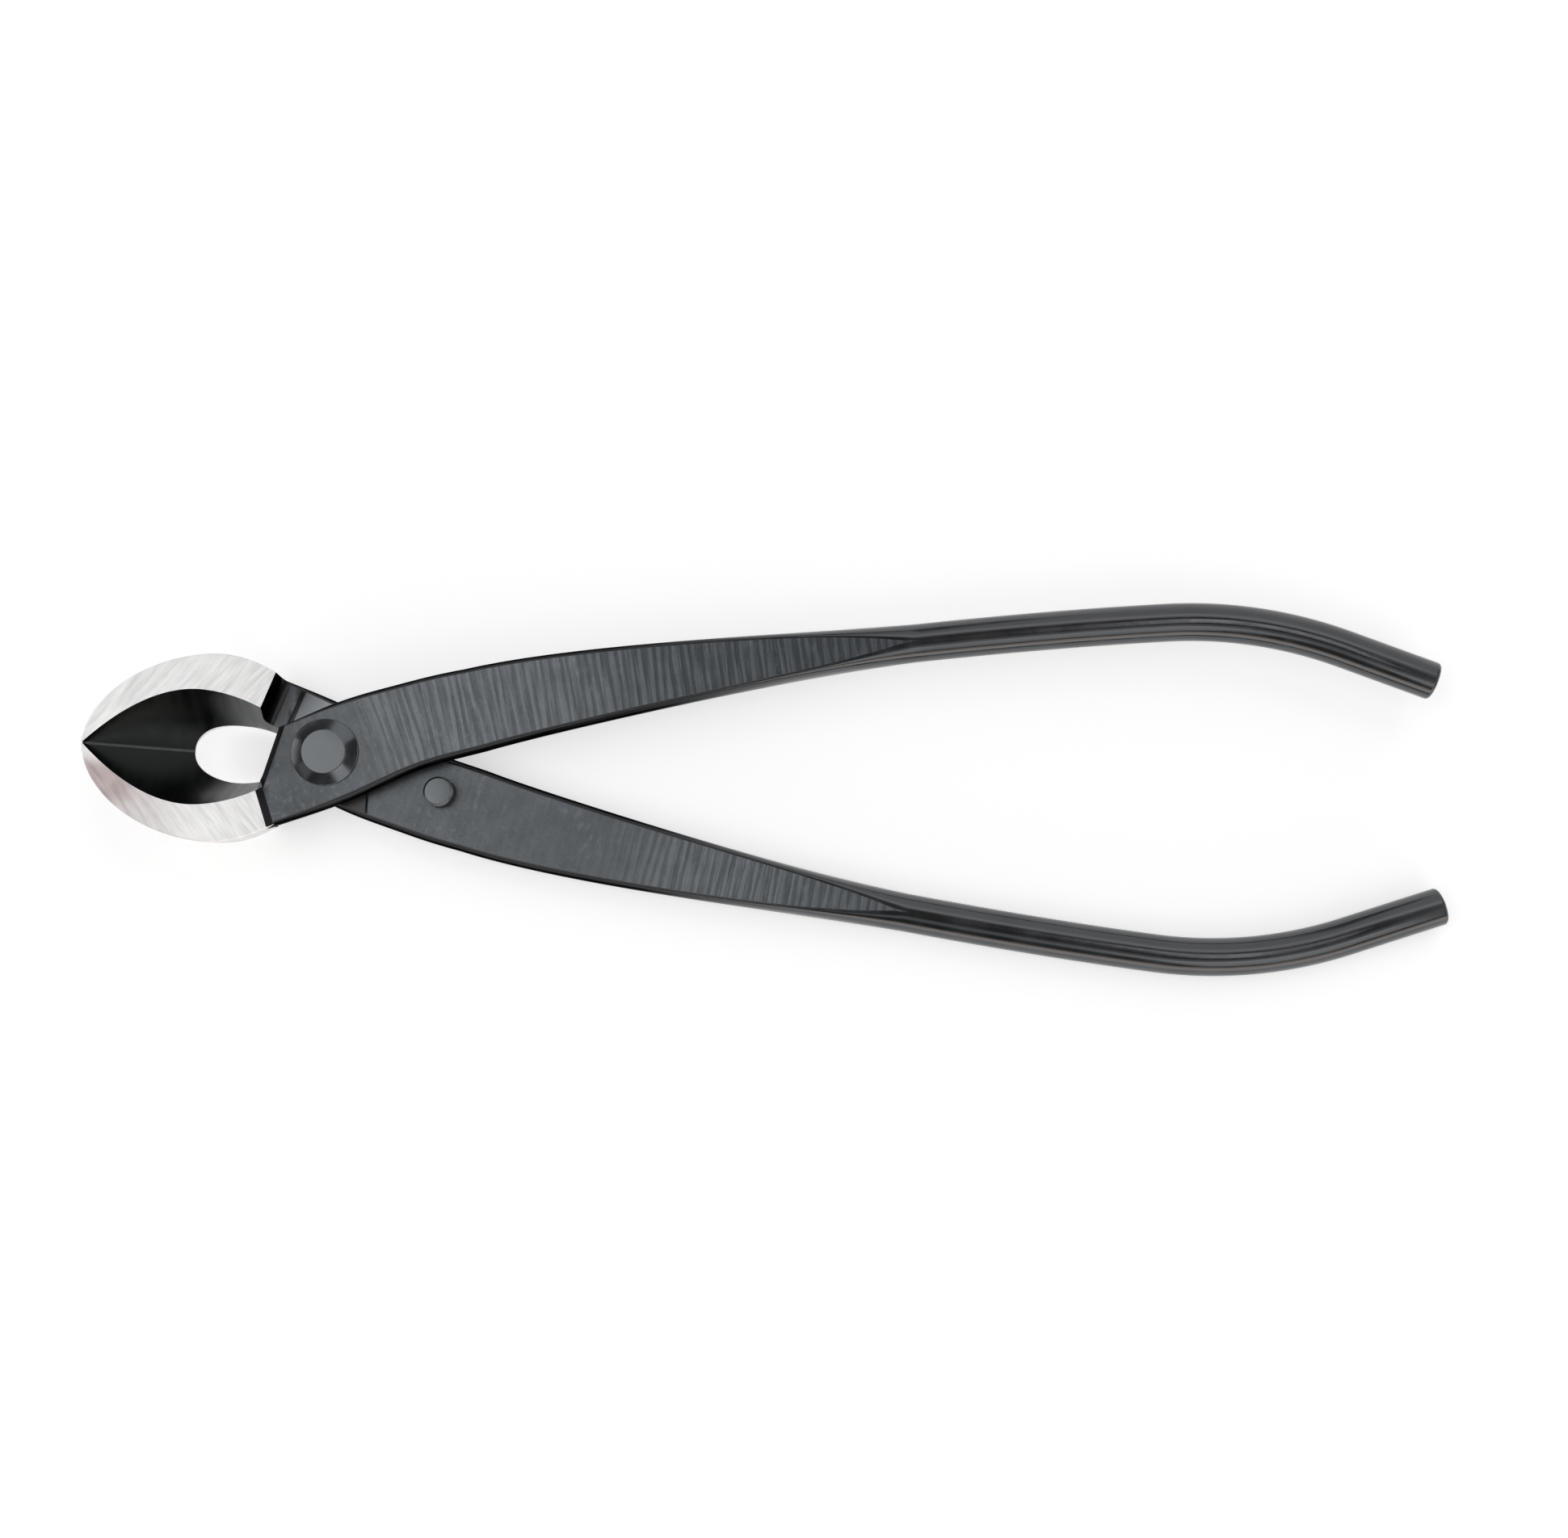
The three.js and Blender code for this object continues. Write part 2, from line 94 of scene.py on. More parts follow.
# Jaw outline in plan: blade face, mouth of the hollow and throat.
JAW_TIP_X = -36.2
JAW_WIDEST_X = -16.5
JAW_HALF_WIDTH = 14.15
JAW_TAIL_LENGTH = 16.5
JAW_ROUNDNESS = 1.85
JAW_END_X = -7.0
NOSE_HALF_WIDTH = 0.3
MOUTH_WIDEST_X = -19.7
MOUTH_HALF_WIDTH = 8.68
MOUTH_TAIL_LENGTH = 19.2
MOUTH_ROUNDNESS = 1.9
THROAT_START_X = -20.9
THROAT_WIDEST_X = -14.9
THROAT_HALF_WIDTH = 4.4
THROAT_TAIL_LENGTH = 9.1

# Jaw section: a wedge between the hollow above and the dome below.
NOSE_DEPTH = 0.8
DEEPEST_X = -14.0
SEAM_CURVE = 1.1
EDGE_LAND = 0.25
EDGE_GAP = 0.004
RIM_HEIGHT = 0.6
HOLLOW_REACH = 0.62
HOLLOW_SAG = 0.22
DOME_ROUNDNESS = 2.2
NECK_SQUARENESS = 120
FRONT_WALL_DRAFT = 1.0
BACK_WALL_DRAFT = 0.4
DOME_END_X = -18.0
NECK_X = -8.0

# Neck, where the jaw ends on a line across the tang.
NECK_INNER = (-9.8, 6.37)
NECK_OUTER = (-7.89, 11.61)
NECK_FILLET = 1.6
SHOULDER_WIDTH = 1.0
GROOVE_WIDTH = 3.35
PAD_REACH = 6.0
PAD_MARGIN = 0.2
PAD_NECK_SLOPE = 0.8
PAD_SHANK_SLOPE = 0.3

# Front lever's end over the throat: a slanted line from the tang's upper corner to a point inside the jaw.
END_UPPER = (-7.1, 3.65)
END_LOWER = (-10.0, -6.8)
END_CHAMFER = 0.8
END_CHAMFER_DROP = 0.4

# Tang: points on the upper and lower edges of the front lever, and how far its sides bow out.
NECK_BULGE = 0.2
EDGE_BULGE = 0.6
TANG_UPPER = (END_UPPER, (1.2, 7.8), (9.6, 10.7))
TANG_LOWER = ((-9.3, -12.0), (2.4, -7.55), (14.0, -1.9))
TANG_BULGES = (NECK_BULGE, EDGE_BULGE, EDGE_BULGE)

# Shank and handle of the front lever.
FLAT_EDGE_ANGLE = math.radians(62)
ROD_DIAMETER = 5.8
RUN_OUT_X = 88.0
SHANK_WIDTHS = (12.9, 11.6, 6.8, ROD_DIAMETER)
BULGE_EASE = 6.5
SHANK_START = np.array((22.0, 7.45))
HANDLE_SPAN = np.array((104.0, 17.5))
SHANK_LEAD = np.array((18.0, 5.45))
BOW_LEAD = np.array((36.0, 3.35))
BOW_RADIUS = 67.0
FRONT_END_SLOPE = math.radians(18.1)
FRONT_END_LENGTH = 14.3
BACK_END_SLOPE = math.radians(19.8)
BACK_END_LENGTH = 15.4
END_ROUNDING = 0.6

# Small softening of edges that the grinding leaves.
FLAT_EDGE_SOFTNESS = 0.3
BLADE_EDGE_SOFTNESS = 0.12
RIVET_EDGE_SOFTNESS = 0.12

# Smoothness of the surfaces.
WELD_DISTANCE = 0.0001
SIDE_STEPS = 14
SOFT_STEPS = 3
FLAT_STEPS = 6
TANG_STEPS = 8
SHANK_STEPS = 150
BOW_STEPS = 50
END_STEPS = 6
NOSE_STEPS = 60
THROAT_STEPS = 70
FACE_STEPS = 3
HOLLOW_STEPS = 24
DOME_STEPS = 26
FILLET_STEPS = 10
ROUND_STEPS = 96

# Finishes of a lever, in the order of its material slots.
FINISH_COUNT = 5
GROUND, SCALE, BRIGHT, HOLLOW, PAD = range(FINISH_COUNT)

# The camera looks down on the pivot side, tilted and turned a little.
IMAGE_WIDTH = 1941
CAMERA_TARGET = Vector((68.775, 0.668, 5.0))
CAMERA_DISTANCE = 350.0
CAMERA_TILT = math.radians(6.0)
CAMERA_ROLL = math.radians(2.237)
FOCAL_PIXELS = 2855.0
SENSOR_WIDTH = 36.0
CLIP_START = 0.01

# Edges that turn by more than this stay sharp.
SHARP_ANGLE = math.radians(28)

# Colours in linear light, from the darkest to the lightest spots of a finish.
GROUND_COLOURS = ((0.08, 0.087, 0.093), (0.2, 0.216, 0.231))
DULL_SCALE_COLOURS = ((0.042, 0.043, 0.046), (0.064, 0.065, 0.067))
GLOSSY_SCALE_COLOURS = ((0.081, 0.084, 0.089), (0.116, 0.119, 0.122))
BRIGHT_COLOURS = ((0.66, 0.652, 0.648), (0.8, 0.795, 0.79))
# Painted reflection: the darker, pinkish tone on the lower jaw's tip.
TIP_REFLECTION_COLOUR = (0.42, 0.35, 0.345)
DEEP_HOLLOW_COLOURS = ((0.021, 0.023, 0.023), (0.036, 0.039, 0.038))
# Painted reflection: the hollow grows paler towards the throat.
THROAT_HOLLOW_REFLECTION_COLOURS = ((0.042, 0.045, 0.045), (0.074, 0.079, 0.077))
# Painted light: a paler line along the seam between the jaws.
SEAM_LIGHT_COLOUR = (0.1, 0.105, 0.108)
# Painted shadow and painted light of the pads: darker where the front lever shades them, lighter on the other
# side.
PAD_SHADED_COLOURS = ((0.05, 0.047, 0.045), (0.095, 0.092, 0.09))
PAD_LIT_COLOURS = ((0.2, 0.21, 0.22), (0.3, 0.315, 0.33))
RIVET_COLOURS = ((0.11, 0.118, 0.126), (0.17, 0.18, 0.188))
PIN_COLOURS = ((0.14, 0.153, 0.158), (0.18, 0.195, 0.202))

# How much a grazing look at the black scale shines, from its dull to its glossy stretch.
SCALE_SHEENS = ((0.12, 0.12, 0.12), (1.0, 1.0, 1.0))

# Roughness, from the smoothest to the roughest spots of a finish. The polish is taken off on the handles.
GROUND_ROUGHNESS = (0.28, 0.4)
SCALE_ROUGHNESS = (0.22, 0.3)
HANDLE_POLISH = 0.08
BRIGHT_ROUGHNESS = (0.28, 0.4)
HOLLOW_ROUGHNESS = (0.32, 0.42)
RUBBED_ROUGHNESS = (0.28, 0.4)
RIVET_ROUGHNESS = (0.16, 0.26)
PIN_ROUGHNESS = (0.28, 0.34)

# Depth of each finish's relief.
GROUND_RELIEF = 0.016
SCALE_RELIEF = 0.02
BRIGHT_RELIEF = 0.006
HOLLOW_RELIEF = 0.006
RUBBED_RELIEF = 0.01
TURNED_RELIEF = 0.002

# Grinding lines across the flats. At a scale of 1 a wave pattern runs through 20 radians in a millimetre.
LINE_SPACING = 1.4
LINE_WAVES = {"Scale": 2 * math.pi / 20 / LINE_SPACING, "Distortion": 6.0, "Detail": 3.0, "Detail Scale": 1.6}
LINE_STRETCH = 8.0
FAINTEST_LINES = 0.12

# Noise patterns of the flats, which lie in millimetres along a lever.
FINE_LINE_NOISE = Noise(1.9, detail=2.0, roughness=0.55, stretch=18.0)
GRAIN_NOISE = Noise(6.0, detail=2.0, stretch=3.0)
CLOUD_NOISE = Noise(0.3, detail=4.0, roughness=0.6)
SPECK_NOISE = Noise(1.1, detail=2.0, stretch=1.8)
SPECK_PATCH_NOISE = Noise(0.11, detail=1.0)

# Noise patterns of the other finishes, which lie in metres. The scratches lean so on the upper jaw.
SCRATCH_LEAN = math.radians(-40)
SCALE_NOISE = Noise(180.0)
PIT_NOISE = Noise(900.0, detail=2.0)
SCRATCH_NOISE = Noise(4200.0, roughness=0.62, stretch=20.0, turn=SCRATCH_LEAN)
COARSE_SCRATCH_NOISE = Noise(1500.0, detail=2.0, stretch=8.0, turn=SCRATCH_LEAN)
# Patches of the scratches, which also break up the painted reflection on the lower jaw's tip.
PATCH_NOISE = Noise(140.0, detail=2.0)
HOLLOW_NOISE = Noise(900.0, stretch=10.0)
RUBBED_NOISE = Noise(350.0, detail=4.0)
TURNED_NOISE = Noise(420.0)
RING_SCALE = 6000.0

# Range of a noise in which a finish goes from one spot to the other.
NOISE_RANGE = (0.3, 0.7)
GRAIN_RANGE = (0.2, 0.8)
RIDGE_RANGE = (0.5, 1.05)
SPECK_RANGE = (0.52, 0.74)
SPECK_PATCH_RANGE = (0.42, 0.6)
SCRATCH_RANGE = (0.36, 0.6)
# Noise range and faintest share of the painted reflection on the lower jaw's tip.
TIP_REFLECTION_RANGE = (0.3, 0.6)
FAINTEST_TIP_REFLECTION = 0.55

# Stretches along a lever, from its tang's end: where the lines fade in, where the flat grows darker, and
# where the scale turns glossy.
FRONT_LINES_SPAN = (14.0, 20.0)
BACK_LINES_SPAN = (50.0, 68.0)
TANG_DARKER_SPAN = (4.0, 13.0)
TANG_DARKENING = 0.2
SHANK_DARKER_SPAN = (42.0, 68.0)
FRONT_SHANK_DARKENING = 0.4
BACK_SHANK_DARKENING = 0.0
GLOSS_SPAN = (50.0, 90.0)

# Stretches in the frame, in metres: the painted reflection on the lower jaw's tip, the painted reflection at
# the hollow's throat end, the painted light line along the seam and the painted shadow and light on the pads.
TIP_REFLECTION_X_SPAN = (-18 * MM, -33 * MM)
TIP_REFLECTION_Y_SPAN = (-1 * MM, -4 * MM)
HOLLOW_REFLECTION_X_SPAN = (-17 * MM, -11 * MM)
SEAM_LIGHT_Y_SPAN = (0.3 * MM, 0.05 * MM)
PAD_SHADE_Y_SPAN = (-2 * MM, 2 * MM)

# Floor, room and panels of light, in metres. Each light of the room is a height above the horizon in degrees
# and a brightness. Each panel is its name, shape, place, size, brightness and colour.
FLOOR_SIZE = 4.0
FLOOR_DROP = 0.00005
FLOOR_COLOUR = (0.9, 0.9, 0.9, 1)
FLOOR_ROUGHNESS = 0.9
FLOOR_GLOW_NEAR = 0.515
FLOOR_GLOW_FAR = 0.85
FLOOR_GLOW_REACH = (0.4, 1.6)
HORIZON_LIGHT = 1.0
ROOM_LIGHT = 0.11
RING_LIGHT = 0.55
ROOM_LIGHTS = ((0, HORIZON_LIGHT), (15, ROOM_LIGHT), (44, ROOM_LIGHT), (52, RING_LIGHT),
               (62, RING_LIGHT), (72, ROOM_LIGHT))
PANEL_TARGET = (0.06, 0.0, 0.0)
WHITE_LIGHT = (1.0, 1.0, 1.0)
WARM_LIGHT = (1.0, 0.88, 0.8)
PANELS = (
    ("overhead_panel", "ELLIPSE", (-0.28, 0.0, 1.0), (0.66, 0.66), 0.95, WHITE_LIGHT),
    ("strip_panel", "RECTANGLE", (0.33, 0.02, 1.0), (0.4, 0.05), 3.0, WHITE_LIGHT),
    ("far_panel", "RECTANGLE", (0.55, 1.15, 0.85), (1.2, 1.5), 0.68, WHITE_LIGHT),
    ("front_panel", "RECTANGLE", (0.4, -1.2, 0.23), (1.8, 0.46), 1.15, WARM_LIGHT),
    ("left_panel", "RECTANGLE", (-0.74, -0.47, 0.57), (0.5, 0.5), 0.3, WHITE_LIGHT),
    ("right_panel", "RECTANGLE", (0.57, -0.8, 0.85), (0.7, 0.58), 1.1, WHITE_LIGHT),
    ("jaw_end_panel", "RECTANGLE", (-1.25, 0.1, 0.26), (0.9, 0.3), 0.9, WHITE_LIGHT),
    ("handle_end_panel", "RECTANGLE", (1.4, 0.0, 0.42), (1.1, 0.44), 1.2, WHITE_LIGHT),
)


# Numbers and curves.

def lerp(start, end, share):
    return start + (end - start) * share


def clamp(value):
    return min(1.0, max(0.0, value))


def smoothstep(value, low, high):
    share = clamp((value - low) / (high - low))
    return share * share * (3 - 2 * share)


def bezier(controls, share):
    points = [np.asarray(point, float) for point in controls]
    while len(points) > 1:
        points = [lerp(a, b, share) for a, b in zip(points, points[1:])]
    return points[0]


def bezier_slope(controls, share):
    points = [np.asarray(point, float) for point in controls]
    return bezier([b - a for a, b in zip(points, points[1:])], share)


def unit(vector):
    return vector / np.linalg.norm(vector)


def across_of(direction):
    return np.array((-direction[1], direction[0]))


# A curve through the second to the last but one of the points, each a smooth passage.
def through(points, share):
    spans = len(points) - 3
    index = min(spans - 1, int(share * spans))
    local = share * spans - index
    before, start, end, after = (np.asarray(p, float) for p in points[index:index + 4])
    return bezier((start, start + (end - before) / 6, end - (after - start) / 6, end), local)


# Closed meshes.

def signed_volume(points, faces):
    total = 0.0
    for face in faces:
        first = points[face[0]]
        for second, third in zip(face[1:], face[2:]):
            total += np.dot(first, np.cross(points[second], points[third]))
    return total


# Joins points that fall on each other, as where a flat runs out.
def weld(mesh):
    shape = bmesh.new()
    shape.from_mesh(mesh)
    bmesh.ops.remove_doubles(shape, verts=shape.verts, dist=WELD_DISTANCE)
    shape.to_mesh(mesh)
    shape.free()


def solid(name, points, faces, finishes):
    points = np.asarray(points, float)
    if signed_volume(points, faces) < 0:
        faces = [face[::-1] for face in faces]
    mesh = bpy.data.meshes.new(name)
    mesh.from_pydata(points.tolist(), [], faces)
    for _ in range(FINISH_COUNT):
        mesh.materials.append(None)
    mesh.polygons.foreach_set("material_index", finishes)
    weld(mesh)
    piece = bpy.data.objects.new(name, mesh)
    bpy.context.scene.collection.objects.link(piece)
    return piece


# A solid skinned over rings, with one finish for each column of faces and one for its two ends.
def loft(name, rings, column_finishes, end_finish):
    count = len(rings[0])
    points = np.concatenate([np.asarray(ring, float) for ring in rings])
    faces = []
    finishes = []
    for row in range(len(rings) - 1):
        for column in range(count):
            a = row * count + column
            b = row * count + (column + 1) % count
            faces.append((a, b, b + count, a + count))
            finishes.append(column_finishes[column])
    last = (len(rings) - 1) * count
    faces.append(tuple(reversed(range(count))))
    faces.append(tuple(range(last, last + count)))
    finishes += [end_finish, end_finish]
    return solid(name, points, faces, finishes)


# A prism over a plan outline, from one height to another.
def prism(name, outline, low, high, side_finish, end_finish):
    rings = [[(x, y, z) for x, y in outline] for z in (low, high)]
    return loft(name, rings, [side_finish] * len(outline), end_finish)


# A solid of revolution about a vertical axis, from (radius, height) points that start and end on the axis.
def turned(name, profile, finish, x=0.0, y=0.0):
    points = [(x, y, profile[0][1])]
    for radius, height in profile[1:-1]:
        for step in range(ROUND_STEPS):
            angle = 2 * math.pi * step / ROUND_STEPS
            points.append((x + radius * math.cos(angle), y + radius * math.sin(angle), height))
    points.append((x, y, profile[-1][1]))
    top = len(points) - 1
    faces = []
    for step in range(ROUND_STEPS):
        after = (step + 1) % ROUND_STEPS
        faces.append((0, 1 + after, 1 + step))
        for row in range(len(profile) - 3):
            base = 1 + row * ROUND_STEPS
            faces.append((base + step, base + after, base + ROUND_STEPS + after, base + ROUND_STEPS + step))
        base = 1 + (len(profile) - 3) * ROUND_STEPS
        faces.append((base + step, base + after, top))
    return solid(name, points, faces, [finish] * len(faces))


def cylinder(name, radius, low, high, finish, x=0.0, y=0.0):
    return turned(name, [(0, low), (radius, low), (radius, high), (0, high)], finish, x, y)


# Adds the tool to the base or cuts it away, and uses the tool up.
def combine(base, operation, tool):
    modifier = base.modifiers.new("combine", "BOOLEAN")
    modifier.operation = operation
    modifier.solver = "MANIFOLD"
    modifier.material_mode = "INDEX"
    modifier.object = tool
    depsgraph = bpy.context.evaluated_depsgraph_get()
    mesh = bpy.data.meshes.new_from_object(base.evaluated_get(depsgraph))
    base.modifiers.clear()
    base.data = mesh
    bpy.data.objects.remove(tool)
    return base


# Tang, shank and handle.

@dataclass
class Section:
    center: np.ndarray
    across: np.ndarray
    half_width: float
    half_thickness: float
    bulge: float
    edge_angle: float


# Form of the handle's section: flat with bowed sides at the tang, round from the run-out on.
def handle_section(center, across):
    share = clamp((center[0] - SHANK_START[0]) / (RUN_OUT_X - SHANK_START[0]))
    half_width = float(bezier([(width,) for width in SHANK_WIDTHS], share)[0]) / 2
    half_thickness = lerp(LEVER_THICKNESS, ROD_DIAMETER, smoothstep(share, 0, 1)) / 2
    bulge = min(half_width, lerp(EDGE_BULGE, ROD_DIAMETER / 2, share ** BULGE_EASE))
    edge_angle = lerp(FLAT_EDGE_ANGLE, math.pi / 2, share ** 2)
    return Section(center, across, half_width, half_thickness, bulge, edge_angle)


def middle_line():
    bow_start = SHANK_START + HANDLE_SPAN
    return [SHANK_START, SHANK_START + SHANK_LEAD, bow_start - BOW_LEAD, bow_start]


# The tang's edges, with the shank's first two places after them to lead the curve on.
def tang_edges():
    controls = middle_line()
    ends = []
    for share in (0.0, 2 / TANG_STEPS):
        across = across_of(unit(bezier_slope(controls, share)))
        section = handle_section(bezier(controls, share), across)
        ends.append(section.across * section.half_width)
    centers = [bezier(controls, share) for share in (0.0, 2 / TANG_STEPS)]
    upper = [np.array(p) for p in TANG_UPPER] + [c + e for c, e in zip(centers, ends)]
    lower = [np.array(p) for p in TANG_LOWER] + [c - e for c, e in zip(centers, ends)]
    upper.insert(0, 2 * upper[0] - upper[1])
    lower.insert(0, 2 * lower[0] - lower[1])
    return upper, lower


def tang_sections():
    upper, lower = tang_edges()
    spans = len(upper) - 3
    bulges = [*TANG_BULGES, EDGE_BULGE]
    sections = []
    for step in range(spans * TANG_STEPS):
        share = step / (spans * TANG_STEPS)
        high = through(upper, share)
        low = through(lower, share)
        place = share * spans
        index = int(place)
        bulge = lerp(bulges[index], bulges[index + 1], place - index)
        center = (high + low) / 2
        across = unit(high - low)
        half_width = np.linalg.norm(high - low) / 2
        sections.append(Section(center, across, half_width, LEVER_THICKNESS / 2, bulge, FLAT_EDGE_ANGLE))
    return sections


def lever_sections(end_length, end_slope):
    sections = tang_sections()
    controls = middle_line()
    for step in range(SHANK_STEPS + 1):
        share = step / SHANK_STEPS
        across = across_of(unit(bezier_slope(controls, share)))
        sections.append(handle_section(bezier(controls, share), across))

    start_across = sections[-1].across
    start_angle = math.atan2(-start_across[0], start_across[1])
    bow_center = sections[-1].center - BOW_RADIUS * start_across
    for step in range(1, BOW_STEPS + 1):
        angle = lerp(start_angle, -end_slope, step / BOW_STEPS)
        across = np.array((-math.sin(angle), math.cos(angle)))
        sections.append(handle_section(bow_center + BOW_RADIUS * across, across))

    bow_end = sections[-1]
    forward = np.array((bow_end.across[1], -bow_end.across[0]))
    for step in range(END_STEPS + 1):
        turn = step / END_STEPS * math.pi / 2
        reach = end_length - END_ROUNDING * (1 - math.sin(turn))
        radius = ROD_DIAMETER / 2 - END_ROUNDING * (1 - math.cos(turn))
        center = bow_end.center + forward * reach
        sections.append(Section(center, bow_end.across, radius, radius, radius, math.pi / 2))
    return sections


# Quarter of a lever's ring as (across, height): from the middle of a side up to the middle of the flat.
def quarter_ring(section):
    points = []
    for step in range(SIDE_STEPS):
        angle = section.edge_angle * step / SIDE_STEPS
        inset = section.bulge * (1 - math.cos(angle)) / (1 - math.cos(section.edge_angle))
        rise = section.half_thickness * math.sin(angle) / math.sin(section.edge_angle)
        points.append(np.array((section.half_width - inset, rise)))
    flat = section.half_width - section.bulge
    corner = np.array((flat, section.half_thickness))
    softness = min(FLAT_EDGE_SOFTNESS, flat / 2)
    soft_end = corner - np.array((softness, 0))
    soft_start = lerp(points[-1], corner, 0.5)
    for step in range(SOFT_STEPS):
        points.append(bezier((soft_start, corner, soft_end), step / SOFT_STEPS))
    for step in range(FLAT_STEPS):
        points.append(np.array((lerp(soft_end[0], 0, (step / FLAT_STEPS) ** 2), section.half_thickness)))
    return points


def full_ring(section, middle):
    quarter = quarter_ring(section)
    crown = [np.array((0, section.half_thickness))]
    upper_half = quarter + crown + [p * (-1, 1) for p in reversed(quarter)]
    lower_half = [p * (1, -1) for p in reversed(upper_half[1:-1])]
    ring = []
    for across, height in upper_half + lower_half:
        x, y = section.center + section.across * across
        ring.append((x, y, middle + height))
    return ring


def ring_finishes():
    quarter = [SCALE] * (SIDE_STEPS + SOFT_STEPS) + [GROUND] * FLAT_STEPS
    return (quarter + quarter[::-1]) * 2


def mirrored(section, side):
    flip = np.array((1, side))
    across = section.across * flip
    return Section(section.center * flip, across, section.half_width, section.half_thickness,
                   section.bulge, section.edge_angle)


def lever_bar(name, side, underside, sections):
    middle = underside + LEVER_THICKNESS / 2
    rings = [full_ring(mirrored(section, side), middle) for section in sections]
    return loft(name, rings, ring_finishes(), SCALE)


# Jaws.

def outline_share(x, widest, tip, tail):
    reach = widest - tip if x < widest else tail
    return min(1.0, abs(x - widest) / reach)


def blade_edge(x):
    share = outline_share(x, JAW_WIDEST_X, JAW_TIP_X, JAW_TAIL_LENGTH)
    return max(NOSE_HALF_WIDTH, JAW_HALF_WIDTH * (1 - share ** JAW_ROUNDNESS) ** (1 / JAW_ROUNDNESS))


def mouth_edge(x):
    share = outline_share(x, MOUTH_WIDEST_X, JAW_TIP_X, MOUTH_TAIL_LENGTH)
    return max(NOSE_HALF_WIDTH / 2, MOUTH_HALF_WIDTH * (1 - share ** MOUTH_ROUNDNESS))


def throat_edge(x):
    share = outline_share(x, THROAT_WIDEST_X, THROAT_START_X, THROAT_TAIL_LENGTH)
    return max(EDGE_GAP / 2, THROAT_HALF_WIDTH * math.sqrt(1 - share * share))


# Height of the cutting edge: it falls from the nose to the floor of the jaws.
def edge_height(x):
    share = clamp((x - JAW_TIP_X) / (DEEPEST_X - JAW_TIP_X))
    return lerp(BLADE_FACE - NOSE_DEPTH, JAW_FLOOR, 1 - (1 - share) ** SEAM_CURVE)


# Controls of the hollow's curve from its mouth down to the edge. At the start of the throat it is the seam's
# curve, ended where the throat cuts it, and by the throat's widest place it has drawn down to a thin edge.
def hollow_controls(x, mouth, edge, low):
    belly = lerp(low, BLADE_FACE, HOLLOW_SAG)
    top = np.array((mouth, BLADE_FACE))
    control = np.array((mouth * HOLLOW_REACH, belly))
    seam = np.array((EDGE_GAP / 2, low + EDGE_LAND))
    bend = top[0] - 2 * control[0] + seam[0]
    lean = 2 * (top[0] - control[0])
    reach = top[0] - edge
    cut = 2 * reach / (lean + math.sqrt(lean * lean - 4 * bend * reach))
    thinning = smoothstep(x, THROAT_START_X, THROAT_WIDEST_X)
    thin_control = np.array((max(edge, control[0]), belly))
    thin_end = np.array((edge, low + EDGE_LAND))
    cut_control = lerp(top, control, cut)
    cut_end = bezier((top, control, seam), cut)
    return top, lerp(cut_control, thin_control, thinning), lerp(cut_end, thin_end, thinning)


# Ring across one jaw: blade face, hollow down to the cutting edge, and the dome back up to the rim.
def jaw_ring(x, side, draft):
    outer = blade_edge(x)
    mouth = mouth_edge(x)
    edge = throat_edge(x)
    low = edge_height(x)
    softness = min(BLADE_EDGE_SOFTNESS, (outer - mouth) / 3)
    points = [(lerp(outer - softness, mouth, step / FACE_STEPS), BLADE_FACE) for step in range(FACE_STEPS)]
    hollow = hollow_controls(x, mouth, edge, low)
    points += [bezier(hollow, step / HOLLOW_STEPS) for step in range(HOLLOW_STEPS + 1)]
    squareness = smoothstep(x, DOME_END_X, NECK_X)
    power = DOME_ROUNDNESS * (NECK_SQUARENESS / DOME_ROUNDNESS) ** squareness
    for step in range(DOME_STEPS + 1):
        share = math.sin(step / DOME_STEPS * math.pi / 2)
        lift = 1 - (1 - share ** power) ** (1 / power)
        wall = outer - draft * squareness * (1 - lift)
        points.append((lerp(edge, wall, share), lerp(low, BLADE_FACE - RIM_HEIGHT, lift)))
    points.append((outer, BLADE_FACE - softness))
    return [(x, side * y, z) for y, z in points]


def jaw_blank(name, side, draft):
    places = [lerp(JAW_TIP_X, THROAT_START_X, (step / NOSE_STEPS) ** 2) for step in range(NOSE_STEPS)]
    for step in range(THROAT_STEPS + 1):
        places.append(lerp(THROAT_START_X, JAW_END_X, (step / THROAT_STEPS) ** 2))
    finishes = [BRIGHT] * FACE_STEPS + [HOLLOW] * HOLLOW_STEPS + [BRIGHT] * (DOME_STEPS + 3)
    return loft(name, [jaw_ring(x, side, draft) for x in places], finishes, SCALE)


# The line across the tang on which the blade face ends, and the direction from it to the pivot.
def neck_line(side):
    start = np.array((NECK_INNER[0], side * NECK_INNER[1]))
    along = unit(np.array((NECK_OUTER[0], side * NECK_OUTER[1])) - start)
    inward = side * np.array((along[1], -along[0]))
    return start, along, inward


# A profile of (distance, height) points, swept along a line in plan. Distances run inward from the line.
def swept(name, profile, finishes, start, along, inward, length):
    rings = []
    for origin in (start, start + along * length):
        plan = [origin + inward * distance for distance, _ in profile]
        rings.append([(x, y, height) for (x, y), (_, height) in zip(plan, profile)])
    return loft(name, rings, finishes, SCALE)


# Everything on the pivot's side of the neck line.
def neck_cutter(name, side, profile, finishes):
    start, along, inward = neck_line(side)
    length = 2 * JAW_HALF_WIDTH
    return swept(name, profile, finishes, start - along * length, along, inward, 2 * length)


